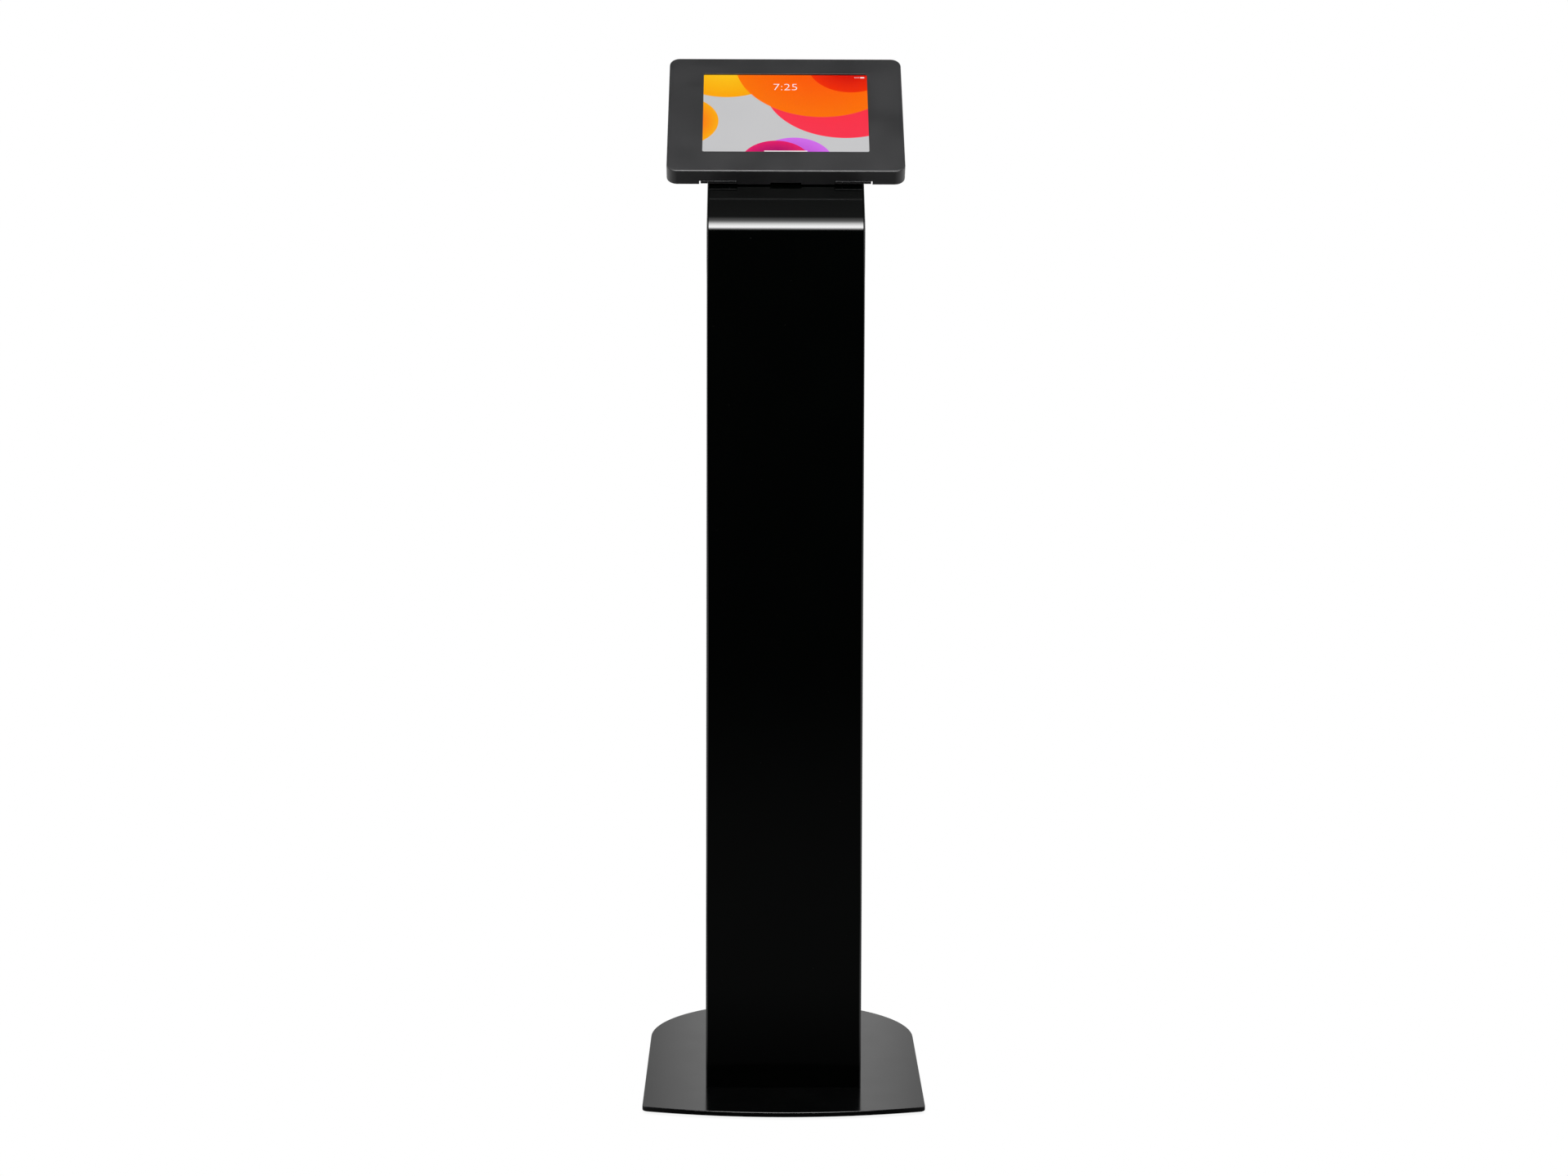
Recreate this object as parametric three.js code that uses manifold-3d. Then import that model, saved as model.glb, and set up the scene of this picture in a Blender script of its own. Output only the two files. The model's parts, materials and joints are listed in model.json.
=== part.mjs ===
// Touchscreen kiosk: a tablet in a locking steel enclosure, held by a folded steel column on a
// weighted foot. Millimetres, +Z up, the screen faces -Y and leans back. The origin lies on the
// floor under the middle of the foot.
import * as THREE from "three";
import { mergeVertices } from "three/addons/utils/BufferGeometryUtils.js";
import Module from "manifold-3d";

const wasm = await Module();
wasm.setup();

// ---------------------------------------------------------------- driving dimensions

const GAP = 0.3; // clearance between neighbouring pieces
const PAST = 1; // how far a cutting solid runs past the face it cuts
const bendSteps = 3; // chords in the small radius of a folded edge
const discSteps = 144; // chords in a full turn of the column's large bend
const FAR = 1000; // beyond the object, for the sides of a half-space cut

const foot = {
  width: 347,
  depth: 530,
  thickness: 6,
  bowRadius: 600,
  cornerRadius: 9,
  arris: 0.5,
};
const rubberFoot = { radius: 15, height: 3, frontX: 145, frontY: -207, rearX: 110, rearY: 190 };
const column = {
  width: 194,
  depth: 70,
  frontY: -155,
  sheet: 2,
  bendRadius: 26,
  cornerRadius: 3,
  elbowZ: 1086.9, // where the front plane and the neck's plane would meet
  flange: 14,
};
const neck = { depth: 50, toPivot: 184, beyondPivot: 52.5 };
const head = {
  tilt: 40,
  width: 295.2,
  height: 225.1,
  thickness: 21.2,
  offNeck: 2,
  sheet: 1.5,
  cornerRadius: 13,
  edgeRadius: 2,
};
const display = { width: 207.4, height: 155.5, aboveEdge: 38 };
const tablet = {
  width: 250.6,
  height: 174.1,
  thickness: 7.5,
  cornerRadius: 12,
  rim: 1.5,
  glassInset: 1.3,
};
const hinge = { from: 61, to: 105.4, radius: 2.75, pinRadius: 1.2, axisV: 2.2, knuckles: 5 };
const hingeLeaf = { sheet: 1, fixedWidth: 13, movingWidth: 9.5, clear: 0.6 };
const smallScrew = { shank: 1.5, hole: 1.8 };
const bolt = { headRadius: 8, headHeight: 4, radius: 4, length: 14, x: 70, inFromWall: 14 };
const footPlateThickness = 5;

// ---------------------------------------------------------------- derived places

const radians = THREE.MathUtils.degToRad;
const baseTop = rubberFoot.height + foot.thickness;
const columnFoot = baseTop + GAP;
const columnRear = column.frontY + column.depth;
const bendTangent = column.bendRadius * Math.tan(radians((90 - head.tilt) / 2));
const bendCentre = { y: column.frontY + column.bendRadius, z: column.elbowZ - bendTangent };
const upNeck = { y: Math.cos(radians(head.tilt)), z: Math.sin(radians(head.tilt)) };
const pivot = {
  y: column.frontY + neck.toPivot * upNeck.y,
  z: column.elbowZ + neck.toPivot * upNeck.z,
};

// The head's frame: x to the right, y up the face, z out of the face, and the neck's front at z = 0.
const headFrame = new THREE.Matrix4()
  .makeRotationX(radians(head.tilt))
  .setPosition(0, pivot.y, pivot.z);

const backN = head.offNeck;
const faceN = backN + head.thickness;
const lowV = -head.height / 2;
const highV = head.height / 2;
const sideU = head.width / 2;
const displayV = lowV + display.aboveEdge + display.height / 2;
const glassN = faceN - head.sheet - GAP;
const tabletBackN = glassN - tablet.thickness;
const tabletU = tablet.width / 2;
const tabletLowV = displayV - tablet.height / 2;
const tabletHighV = displayV + tablet.height / 2;
const portN = tabletBackN + tablet.thickness / 2;
const trayFloorN = backN + head.sheet;

// ---------------------------------------------------------------- materials

const finish = (color, roughness, metalness) =>
  new THREE.MeshStandardMaterial({ color, roughness, metalness });

const materials = {
  baseSteel: finish(0x141515, 0.22, 0.3),
  columnSteel: finish(0x0b0c0c, 0.15, 0.3),
  headSteel: finish(0x3e3e40, 0.5, 0.4),
  zinc: finish(0xb4b6b8, 0.35, 1),
  blackSteel: finish(0x1c1c1d, 0.45, 0.8),
  rubber: finish(0x161616, 0.9, 0),
  nylon: finish(0xd8d6cf, 0.6, 0),
  foam: finish(0x2a2a2c, 0.95, 0),
  aluminium: finish(0xa9abae, 0.4, 1),
  glass: finish(0x101114, 0.05, 0),
  screen: finish(0xd96a1e, 0.2, 0),
  plastic: finish(0xe6e6e3, 0.45, 0),
  cable: finish(0xdededb, 0.5, 0),
};

// ---------------------------------------------------------------- solids

function toSolid(geometry) {
  const bare = geometry.clone();
  bare.deleteAttribute("normal");
  bare.deleteAttribute("uv");
  const merged = mergeVertices(bare, 1e-4);
  const vertProperties = merged.attributes.position.array;
  const triVerts = new Uint32Array(merged.index.array);
  return new wasm.Manifold(new wasm.Mesh({ numProp: 3, vertProperties, triVerts }));
}

function toGeometry(solid) {
  const { numProp, vertProperties, triVerts } = solid.getMesh();
  const geometry = new THREE.BufferGeometry();
  geometry.setAttribute("position", new THREE.BufferAttribute(vertProperties, numProp));
  geometry.setIndex(new THREE.BufferAttribute(triVerts, 1));
  const faceted = geometry.toNonIndexed();
  faceted.computeVertexNormals();
  return faceted;
}

function box(x0, x1, y0, y1, z0, z1) {
  const geometry = new THREE.BoxGeometry(x1 - x0, y1 - y0, z1 - z0);
  geometry.translate((x0 + x1) / 2, (y0 + y1) / 2, (z0 + z1) / 2);
  return toSolid(geometry);
}

// A round bar, or a cone where the two radii differ, along z.
function bar(radius, z0, z1, sides, farRadius = radius) {
  const geometry = new THREE.CylinderGeometry(farRadius, radius, z1 - z0, sides);
  geometry.rotateX(Math.PI / 2);
  geometry.translate(0, 0, (z0 + z1) / 2);
  return toSolid(geometry);
}

const tube = (outer, inner, z0, z1, sides) =>
  bar(outer, z0, z1, sides).subtract(bar(inner, z0 - PAST, z1 + PAST, sides));

const alongX = (solid) => solid.rotate([0, 90, 0]);
const joined = (solids) => solids.reduce((all, solid) => all.add(solid));

function prism(points, z0, z1) {
  const shape = new THREE.Shape(points);
  const geometry = new THREE.ExtrudeGeometry(shape, { depth: z1 - z0, bevelEnabled: false });
  return toSolid(geometry.translate(0, 0, z0));
}

// The same with its two rims rounded over by `radius`.
function rimmedPrism(points, z0, z1, radius, steps) {
  const geometry = new THREE.ExtrudeGeometry(new THREE.Shape(points), {
    depth: z1 - z0 - 2 * radius,
    bevelThickness: radius,
    bevelSize: radius,
    bevelOffset: -radius,
    bevelSegments: steps,
  });
  return toSolid(geometry.translate(0, 0, z0 + radius));
}

function arc(x, y, radius, fromDegrees, toDegrees, steps) {
  return Array.from({ length: steps + 1 }, (_, i) => {
    const angle = radians(fromDegrees + ((toDegrees - fromDegrees) * i) / steps);
    return new THREE.Vector2(x + radius * Math.cos(angle), y + radius * Math.sin(angle));
  });
}

function roundedRect(x0, x1, y0, y1, radius, steps = 4) {
  return [
    ...arc(x1 - radius, y0 + radius, radius, -90, 0, steps),
    ...arc(x1 - radius, y1 - radius, radius, 0, 90, steps),
    ...arc(x0 + radius, y1 - radius, radius, 90, 180, steps),
    ...arc(x0 + radius, y0 + radius, radius, 180, 270, steps),
  ];
}

// A slot that follows a circle about the origin.
function arcSlot(radius, halfWidth, fromDegrees, toDegrees, z0, z1) {
  const steps = 12;
  const end = (degrees) => ({
    x: radius * Math.cos(radians(degrees)),
    y: radius * Math.sin(radians(degrees)),
  });
  const first = end(fromDegrees);
  const last = end(toDegrees);
  return prism(
    [
      ...arc(0, 0, radius + halfWidth, fromDegrees, toDegrees, steps),
      ...arc(last.x, last.y, halfWidth, toDegrees, toDegrees + 180, 6).slice(1, -1),
      ...arc(0, 0, radius - halfWidth, toDegrees, fromDegrees, steps),
      ...arc(first.x, first.y, halfWidth, fromDegrees + 180, fromDegrees + 360, 6).slice(1, -1),
    ],
    z0,
    z1,
  );
}

// A round cord along a smooth curve through the points.
function cord(points, radius, steps) {
  const curve = new THREE.CatmullRomCurve3(points, false, "centripetal");
  const section = new THREE.Shape(arc(0, 0, radius, 0, 315, 7));
  return toSolid(
    new THREE.ExtrudeGeometry(section, { steps, bevelEnabled: false, extrudePath: curve }),
  );
}

// ---------------------------------------------------------------- assembly

const kiosk = new THREE.Group();
const headGroup = new THREE.Group();
headGroup.applyMatrix4(headFrame);
kiosk.add(headGroup);

function part(parent, name, solid, material) {
  const mesh = new THREE.Mesh(toGeometry(solid), material);
  mesh.name = name;
  parent.add(mesh);
}

const mirrored = [
  { side: "left", sign: -1 },
  { side: "right", sign: 1 },
];

// ---------------------------------------------------------------- foot

function boltPlaces() {
  const rows = [
    { end: "front", y: column.frontY + bolt.inFromWall },
    { end: "rear", y: columnRear - bolt.inFromWall },
  ];
  return rows.flatMap(({ end, y }) =>
    mirrored.map(({ side, sign }) => ({ name: `${end}_${side}`, x: sign * bolt.x, y })),
  );
}

// A bowed front edge with tight corners, straight sides and a half-round rear.
function footOutline() {
  const half = foot.width / 2;
  const frontCentreY = -foot.depth / 2 + foot.bowRadius;
  const cornerX = half - foot.cornerRadius;
  const cornerReach = foot.bowRadius - foot.cornerRadius;
  const cornerY = frontCentreY - Math.sqrt(cornerReach ** 2 - cornerX ** 2);
  const cornerTurn = THREE.MathUtils.radToDeg(Math.asin(cornerX / cornerReach));
  return [
    ...arc(0, frontCentreY, foot.bowRadius, 270 - cornerTurn, 270 + cornerTurn, 16),
    ...arc(cornerX, cornerY, foot.cornerRadius, 270 + cornerTurn, 360, 4).slice(1),
    ...arc(0, foot.depth / 2 - half, half, 0, 180, 48),
    ...arc(-cornerX, cornerY, foot.cornerRadius, 180, 270 - cornerTurn, 4).slice(0, -1),
  ];
}

// A countersunk bolt, or with clearance the hole that it needs.
function baseBolt(clearance) {
  const { headRadius, headHeight, radius, length } = bolt;
  const start = rubberFoot.height - (clearance ? PAST : 0);
  const neckZ = rubberFoot.height + headHeight;
  const wide = headRadius + clearance;
  const narrow = radius + clearance;
  const cone = bar(wide, rubberFoot.height, neckZ, 16, narrow);
  const mouth = clearance ? bar(wide, start, rubberFoot.height, 16) : null;
  const shank = bar(narrow, neckZ, rubberFoot.height + length + clearance, 16);
  return mouth ? joined([cone, mouth, shank]) : cone.add(shank);
}

function addFoot() {
  let plate = rimmedPrism(footOutline(), rubberFoot.height, baseTop, foot.arris, 1);
  let footPlate = prism(
    roundedRect(
      -column.width / 2 + column.sheet + GAP,
      column.width / 2 - column.sheet - GAP,
      column.frontY + column.sheet + GAP,
      columnRear - column.sheet - GAP,
      1,
      1,
    ),
    columnFoot,
    columnFoot + footPlateThickness,
  );
  const through = bar(bolt.radius + GAP, baseTop - PAST, columnFoot + footPlateThickness + PAST, 16);
  for (const { name, x, y } of boltPlaces()) {
    plate = plate.subtract(baseBolt(GAP).translate([x, y, 0]));
    footPlate = footPlate.subtract(through.translate([x, y, 0]));
    part(kiosk, `base_bolt_${name}`, baseBolt(0).translate([x, y, 0]), materials.zinc);
  }
  part(kiosk, "base_plate", plate, materials.baseSteel);
  part(kiosk, "foot_plate", footPlate, materials.blackSteel);
  for (const { side, sign } of mirrored) {
    const pad = bar(rubberFoot.radius, 0, rubberFoot.height - GAP / 10, 24);
    const { frontX, frontY, rearX, rearY } = rubberFoot;
    const front = pad.translate([sign * frontX, frontY, 0]);
    const rear = pad.translate([sign * rearX, rearY, 0]);
    part(kiosk, `rubber_foot_front_${side}`, front, materials.rubber);
    part(kiosk, `rubber_foot_rear_${side}`, rear, materials.rubber);
  }
}

// ---------------------------------------------------------------- column and neck

// A disc across the column with rounded rims: the outside of the bend.
function rimmedDisc(radius, halfWidth, rim) {
  const profile = [
    new THREE.Vector2(0, -halfWidth),
    ...arc(radius - rim, -halfWidth + rim, rim, -90, 0, bendSteps),
    ...arc(radius - rim, halfWidth - rim, rim, 0, 90, bendSteps),
    new THREE.Vector2(0, halfWidth),
  ];
  return toSolid(new THREE.LatheGeometry(profile, discSteps)).rotate([0, 0, -90]);
}

// Where the neck's rear face meets the column's rear face, both moved in by `inset`.
function rearJunction(inset) {
  const n = inset - neck.depth;
  const v = (columnRear - inset - pivot.y + n * upNeck.z) / upNeck.y;
  return { v, z: pivot.z + v * upNeck.z + n * upNeck.y };
}

// The column and neck as one filled shape, with every face moved in by `inset`.
function housing(inset, bottomZ) {
  const half = column.width / 2 - inset;
  const front = column.frontY + inset;
  const rear = columnRear - inset;
  const radius = column.cornerRadius - inset;
  const top = rearJunction(inset).z;
  const bendEndV = bendTangent - neck.toPivot;
  const aboveBend = box(-half - PAST, half + PAST, front - PAST, bendCentre.y, bendCentre.z, top + PAST);
  const upright = prism(roundedRect(-half, half, front, rear, radius, bendSteps), bottomZ, top);
  const elbow = rimmedDisc(column.bendRadius - inset, half, radius);
  const reach = prism(
    roundedRect(-half, half, inset, neck.depth - inset, radius, bendSteps),
    bendEndV,
    neck.beyondPivot - inset,
  );
  return joined([
    upright.subtract(aboveBend),
    elbow.translate([0, bendCentre.y, bendCentre.z]),
    reach.rotate([-90, 0, 0]).transform(headFrame.elements),
  ]);
}

const doorOpening = { bottom: 55, top: 1045 };
const door = { halfWidth: 92, overlap: 9, depth: 3.2, sheet: 1.5 };
const neckOpening = { aboveJunction: 12, belowTop: 12 };
const neckCover = { aboveJunction: 5, belowTop: 3, cornerRadius: 3 };
const coverScrews = { x: 88, low: -118, high: 32, headRadius: 3.5, headHeight: 2, inNeck: 6 };
const pivotBore = { bush: 30, hole: 30.7, cable: 23 };
const turnStop = { radius: 52, pin: 3, reach: 6, fromDegrees: 225, toDegrees: 315 };

function addColumnShell() {
  const { sheet, width, flange } = column;
  const half = width / 2;
  const low = rearJunction(0).v + neckOpening.aboveJunction;
  const high = neck.beyondPivot - neckOpening.belowTop;
  const inside = half - flange;
  const rearCut = box(
    -inside,
    inside,
    columnRear - sheet - PAST,
    columnRear + PAST,
    doorOpening.bottom,
    doorOpening.top,
  );
  const neckCut = box(-inside, inside, low, high, -neck.depth - PAST, sheet + PAST - neck.depth);
  const pivotHole = bar(pivotBore.hole, -sheet - PAST, PAST, 32);
  const stopSlot = arcSlot(
    turnStop.radius,
    turnStop.pin + GAP,
    turnStop.fromDegrees - GAP,
    turnStop.toDegrees + GAP,
    -sheet - PAST,
    PAST,
  );
  const screwHoles = neckScrewPlaces().map(({ x, v }) =>
    bar(smallScrew.hole, -neck.depth - PAST, sheet + PAST - neck.depth, 12).translate([x, v, 0]),
  );
  const neckCuts = joined([neckCut, pivotHole, stopSlot, ...screwHoles]);
  const shell = housing(0, columnFoot)
    .subtract(housing(sheet, columnFoot - PAST))
    .subtract(rearCut)
    .subtract(neckCuts.transform(headFrame.elements));
  part(kiosk, "column_shell", shell, materials.columnSteel);
}

function neckScrewPlaces() {
  const { x, low, high } = coverScrews;
  return [
    { name: "lower_left", x: -x, v: low },
    { name: "lower_right", x, v: low },
    { name: "upper_left", x: -x, v: high },
    { name: "upper_right", x, v: high },
  ];
}

function addNeckCover() {
  const outer = -neck.depth - GAP;
  const inner = outer - head.sheet;
  const bottom = rearJunction(0).v + neckCover.aboveJunction;
  const top = neck.beyondPivot - neckCover.belowTop;
  const { headRadius, headHeight, inNeck } = coverScrews;
  const underHead = inner - GAP;
  const sheet = roundedRect(-door.halfWidth, door.halfWidth, bottom, top, neckCover.cornerRadius);
  let cover = prism(sheet, inner, outer);
  for (const { name, x, v } of neckScrewPlaces()) {
    cover = cover.subtract(bar(smallScrew.hole, inner - PAST, outer + PAST, 12).translate([x, v, 0]));
    const screw = bar(smallScrew.shank, inner - PAST, inNeck - neck.depth, 12)
      .add(bar(headRadius, underHead - headHeight, underHead, 12));
    part(headGroup, `neck_cover_screw_${name}`, screw.translate([x, v, 0]), materials.zinc);
  }
  part(headGroup, "neck_cover", cover, materials.columnSteel);
}

// ---------------------------------------------------------------- cam locks

const lockRimHeight = 1.2;
const keySlot = { halfWidth: 0.5, halfHeight: 2, depth: 4 };

// Along z, with the key side up: a barrel with a rim, a turning plug and a cam on its tail.
// The panel's outer face is at z = 0. The cam points along -y when unlocked.
function addCamLock(parent, prefix, size, place) {
  const { rim, body, plug, tail, depth, camLength, camWidth, camThickness } = size;
  const faceZ = GAP + lockRimHeight;
  const barrel = bar(body, -depth, GAP, 20)
    .add(bar(rim, GAP, faceZ, 20))
    .subtract(bar(plug + GAP, -depth - PAST, faceZ + PAST, 20));
  const { halfWidth, halfHeight, depth: keyDepth } = keySlot;
  const keyway = box(-halfWidth, halfWidth, -halfHeight, halfHeight, -keyDepth, faceZ + PAST);
  const core = bar(plug, -depth - GAP, faceZ, 20)
    .add(bar(tail, -depth - 2 * GAP - camThickness - PAST, -depth, 12))
    .subtract(keyway);
  const camTop = -depth - 2 * GAP;
  const cam = box(-camWidth / 2, camWidth / 2, -camLength, 0, camTop - camThickness, camTop)
    .add(bar(camWidth / 2, camTop - camThickness, camTop, 20))
    .subtract(bar(tail + GAP, camTop - camThickness - PAST, camTop + PAST, 12));
  part(parent, `${prefix}_body`, place(barrel), materials.zinc);
  part(parent, `${prefix}_plug`, place(core), materials.zinc);
  part(parent, `${prefix}_cam`, place(cam), materials.blackSteel);
}

// ---------------------------------------------------------------- rear door

const doorLock = {
  rim: 10,
  body: 8,
  plug: 5.6,
  tail: 3,
  depth: 8,
  camLength: 20,
  camWidth: 10,
  camThickness: 2,
  x: 73,
  z: 620,
};
const doorHinge = {
  x: -93,
  y: columnRear + 7.7,
  radius: 3.4,
  bore: 1.9,
  pin: 1.6,
  half: 24,
  leafWidth: 18,
  leafSheet: 1.5,
  z: [170, 930],
};
const doorFaceY = columnRear + GAP + door.depth;

function addDoor() {
  const { halfWidth, overlap, sheet } = door;
  const bottom = doorOpening.bottom - overlap;
  const top = doorOpening.top + overlap;
  const inner = columnRear + GAP;
  const lip = halfWidth - sheet;
  const lockHole = bar(doorLock.body + GAP, -PAST, door.depth + PAST, 20)
    .rotate([-90, 0, 0])
    .translate([doorLock.x, inner, doorLock.z]);
  const cableHole = bar(grommet.waist + GAP, -PAST, door.depth + PAST, 20)
    .rotate([-90, 0, 0])
    .translate([0, inner, grommet.z]);
  const panel = box(-halfWidth, halfWidth, inner, doorFaceY, bottom, top)
    .subtract(box(-lip, lip, inner - PAST, doorFaceY - sheet, bottom + sheet, top - sheet))
    .subtract(lockHole)
    .subtract(cableHole);
  part(kiosk, "rear_door", panel, materials.columnSteel);
  // The lock's own axis runs along +y, and its cam hangs straight down until it is turned.
  addCamLock(kiosk, "door_lock", doorLock, (solid) =>
    solid.rotate([-90, 0, 0]).rotate([0, 180, 0]).translate([doorLock.x, doorFaceY, doorLock.z]),
  );
}

function addDoorHinge(name, z) {
  const { x, y, radius, bore, pin, half, leafWidth, leafSheet } = doorHinge;
  const lug = box(x - radius, x + GAP, columnRear + GAP, y - PAST, z - half, z);
  const pinHalf = bar(radius, z - half, z, 16)
    .add(bar(pin, z - PAST, z + half - PAST, 12))
    .translate([x, y, 0])
    .add(lug);
  const leafTop = z + half;
  const leafY = doorFaceY + GAP;
  const leafHalf = bar(radius, z + GAP, leafTop, 16)
    .translate([x, y, 0])
    .add(box(x, x + leafWidth, leafY, leafY + leafSheet, z + GAP, leafTop))
    .subtract(bar(bore, z - PAST, leafTop + PAST, 12).translate([x, y, 0]));
  part(kiosk, `door_hinge_pin_half_${name}`, pinHalf, materials.blackSteel);
  part(kiosk, `door_hinge_leaf_half_${name}`, leafHalf, materials.blackSteel);
}

const grommet = { waist: 10.5, flange: 14, flangeThickness: 2, lip: 3, bore: 6, z: 76 };

function addGrommet() {
  const { waist, flange, flangeThickness, lip, bore, z } = grommet;
  const inner = doorFaceY - door.sheet;
  const outerFlange = doorFaceY + GAP;
  const innerFlange = inner - GAP;
  const ring = bar(waist, inner - lip, doorFaceY + lip, 20)
    .add(bar(flange, outerFlange, outerFlange + flangeThickness, 20))
    .add(bar(flange, innerFlange - flangeThickness, innerFlange, 20))
    .subtract(bar(bore, inner - lip - PAST, doorFaceY + lip + PAST, 16));
  part(kiosk, "cable_grommet", ring.rotate([-90, 0, 0]).translate([0, 0, z]), materials.rubber);
}

// ---------------------------------------------------------------- power

const adapter = {
  x: 21,
  front: column.frontY + 13,
  rear: column.frontY + 41,
  height: 50,
  bottom: columnFoot + footPlateThickness + GAP,
  cornerRadius: 4,
  rimRadius: 2,
};
const strap = { y0: adapter.front + 3, y1: adapter.front + 15, sheet: 1.2, foot: 12 };
const cableBoot = { half: 3, width: 6, height: 14, inFromRear: 5 };
const cableY = column.frontY + 42;
const cableRadius = 1.8;
const cableSteps = 30;
const cableSplitN = -12;

function addPower() {
  const { x, front, rear, bottom, height, cornerRadius, rimRadius } = adapter;
  const top = bottom + height;
  const outline = roundedRect(-x, x, front, rear, cornerRadius, 3);
  part(kiosk, "power_adapter", rimmedPrism(outline, bottom, top, rimRadius, 2), materials.plastic);
  const inside = x + GAP;
  const outside = inside + strap.sheet;
  const hoop = box(-outside, outside, strap.y0, strap.y1, bottom, top + GAP + strap.sheet)
    .subtract(box(-inside, inside, strap.y0 - PAST, strap.y1 + PAST, bottom - PAST, top + GAP))
    .add(box(-outside - strap.foot, -inside, strap.y0, strap.y1, bottom, bottom + strap.sheet))
    .add(box(inside, outside + strap.foot, strap.y0, strap.y1, bottom, bottom + strap.sheet));
  part(kiosk, "adapter_strap", hoop, materials.blackSteel);
  addLowerCable(top);
}

const inHead = (x, v, n) => new THREE.Vector3(x, v, n).applyMatrix4(headFrame);

function addLowerCable(adapterTop) {
  const { half, width, height, inFromRear } = cableBoot;
  const bootTop = adapterTop + GAP + height;
  const entryY = adapter.rear - inFromRear;
  const run = cord(
    [
      inHead(0, 0, cableSplitN - GAP),
      inHead(0, -1, cableSplitN - 8),
      inHead(0, -14, -26),
      inHead(0, -60, -28),
      inHead(0, -120, -26),
      new THREE.Vector3(0, cableY, 1030),
      new THREE.Vector3(0, cableY, 900),
      new THREE.Vector3(0, cableY - 2, 300),
      new THREE.Vector3(0, entryY, 130),
      new THREE.Vector3(0, entryY, bootTop - PAST),
    ],
    cableRadius,
    cableSteps,
  );
  const boot = box(-width, width, entryY - half, entryY + half, adapterTop + GAP, bootTop);
  part(kiosk, "charging_cable_lower", run.add(boot), materials.cable);
}

const plug = { grip: 9, halfWidth: 4, halfThickness: 3, entryU: 5 };
const tongue = { length: 5.5, halfWidth: 3.4, halfThickness: 0.7 };

function addUpperCable() {
  const plugU = tabletU + plug.entryU;
  const lowN = 9.5;
  const run = cord(
    [
      new THREE.Vector3(plugU, displayV, portN - plug.halfThickness - 3 * GAP),
      new THREE.Vector3(plugU - 0.6, displayV, portN - 2 * plug.halfThickness),
      new THREE.Vector3(plugU - 8, displayV, lowN),
      new THREE.Vector3(70, displayV / 2, lowN),
      new THREE.Vector3(14, 0, lowN),
      new THREE.Vector3(3, 0, lowN - 3),
      new THREE.Vector3(0, 0, 2),
      new THREE.Vector3(0, 0, cableSplitN),
    ],
    cableRadius,
    cableSteps,
  );
  part(headGroup, "charging_cable_upper", run, materials.cable);
  const gripU = tabletU + GAP;
  const slab = (u0, u1, { halfWidth, halfThickness }) =>
    box(
      u0,
      u1,
      displayV - halfWidth,
      displayV + halfWidth,
      portN - halfThickness,
      portN + halfThickness,
    );
  const grip = slab(gripU, gripU + plug.grip, plug);
  const inPort = slab(tabletU - tongue.length, gripU + PAST, tongue);
  part(headGroup, "charging_plug", grip.add(inPort), materials.plastic);
}

// ---------------------------------------------------------------- head mount

const ring = { radius: 42, thickness: 3, offSheet: 1.2, screwCircle: 26.5, screws: 3 };
const ringScrew = { headRadius: 2.8, headHeight: 2.2 };
const ringN = -column.sheet - ring.offSheet - ring.thickness;
const bushFlange = 2.5;
const washerRadius = 46;
const pinHead = { over: 2, height: 2 };

function addHeadMount() {
  const { bush, cable } = pivotBore;
  const tubeEnd = ringN + ring.thickness + GAP;
  const flange = trayFloorN + GAP;
  let bushing = bar(bush, tubeEnd, flange + PAST, 32)
    .add(bar(ring.radius, flange, flange + bushFlange, 32))
    .subtract(bar(cable, tubeEnd - PAST, flange + bushFlange + PAST, 24));
  let retainer = tube(ring.radius, cable, ringN, ringN + ring.thickness, 32);
  for (let i = 0; i < ring.screws; i += 1) {
    const turn = [0, 0, (360 * i) / ring.screws + 90];
    const place = (solid) => solid.translate([ring.screwCircle, 0, 0]).rotate(turn);
    const hole = bar(smallScrew.hole, ringN - PAST, flange, 12);
    bushing = bushing.subtract(place(hole));
    retainer = retainer.subtract(place(hole));
    const underHead = ringN - GAP;
    const screw = bar(smallScrew.shank, ringN - PAST, flange - GAP, 12)
      .add(bar(ringScrew.headRadius, underHead - ringScrew.headHeight, underHead, 12));
    part(headGroup, `ring_screw_${i + 1}`, place(screw), materials.zinc);
  }
  part(headGroup, "pivot_bush", bushing, materials.zinc);
  part(headGroup, "retaining_ring", retainer, materials.zinc);
  const washer = tube(washerRadius, pivotBore.hole, GAP, head.offNeck - GAP, 32);
  part(headGroup, "friction_washer", washer, materials.nylon);
  const headN = trayFloorN + GAP;
  const pin = bar(turnStop.pin, -turnStop.reach, trayFloorN + PAST, 12)
    .add(bar(turnStop.pin + pinHead.over, headN, headN + pinHead.height, 12))
    .translate([turnStop.radius, 0, 0])
    .rotate([0, 0, turnStop.fromDegrees]);
  part(headGroup, "turn_stop_pin", pin, materials.zinc);
}

// ---------------------------------------------------------------- enclosure

const coverLock = {
  rim: 7.5,
  body: 6,
  plug: 4,
  tail: 2.2,
  depth: 14,
  camLength: 8,
  camWidth: 6,
  camThickness: 2,
  n: backN + head.thickness / 2,
};
const hingeAxis = { v: lowV + hinge.axisV, n: backN + hinge.radius };
const trayEdgeV = lowV + 6.2;
const trayInset = head.sheet + 0.5;
const trayWall = 12;
const catchPost = { u0: 9.8, u1: 11.3, ledgeU: 4.6, depth: 2, over: 0.5 };
const notch = { half: 19, height: 2.5 };
const knuckleRoom = { near: 0.5, far: 1.7, above: 0.4 };

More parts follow.
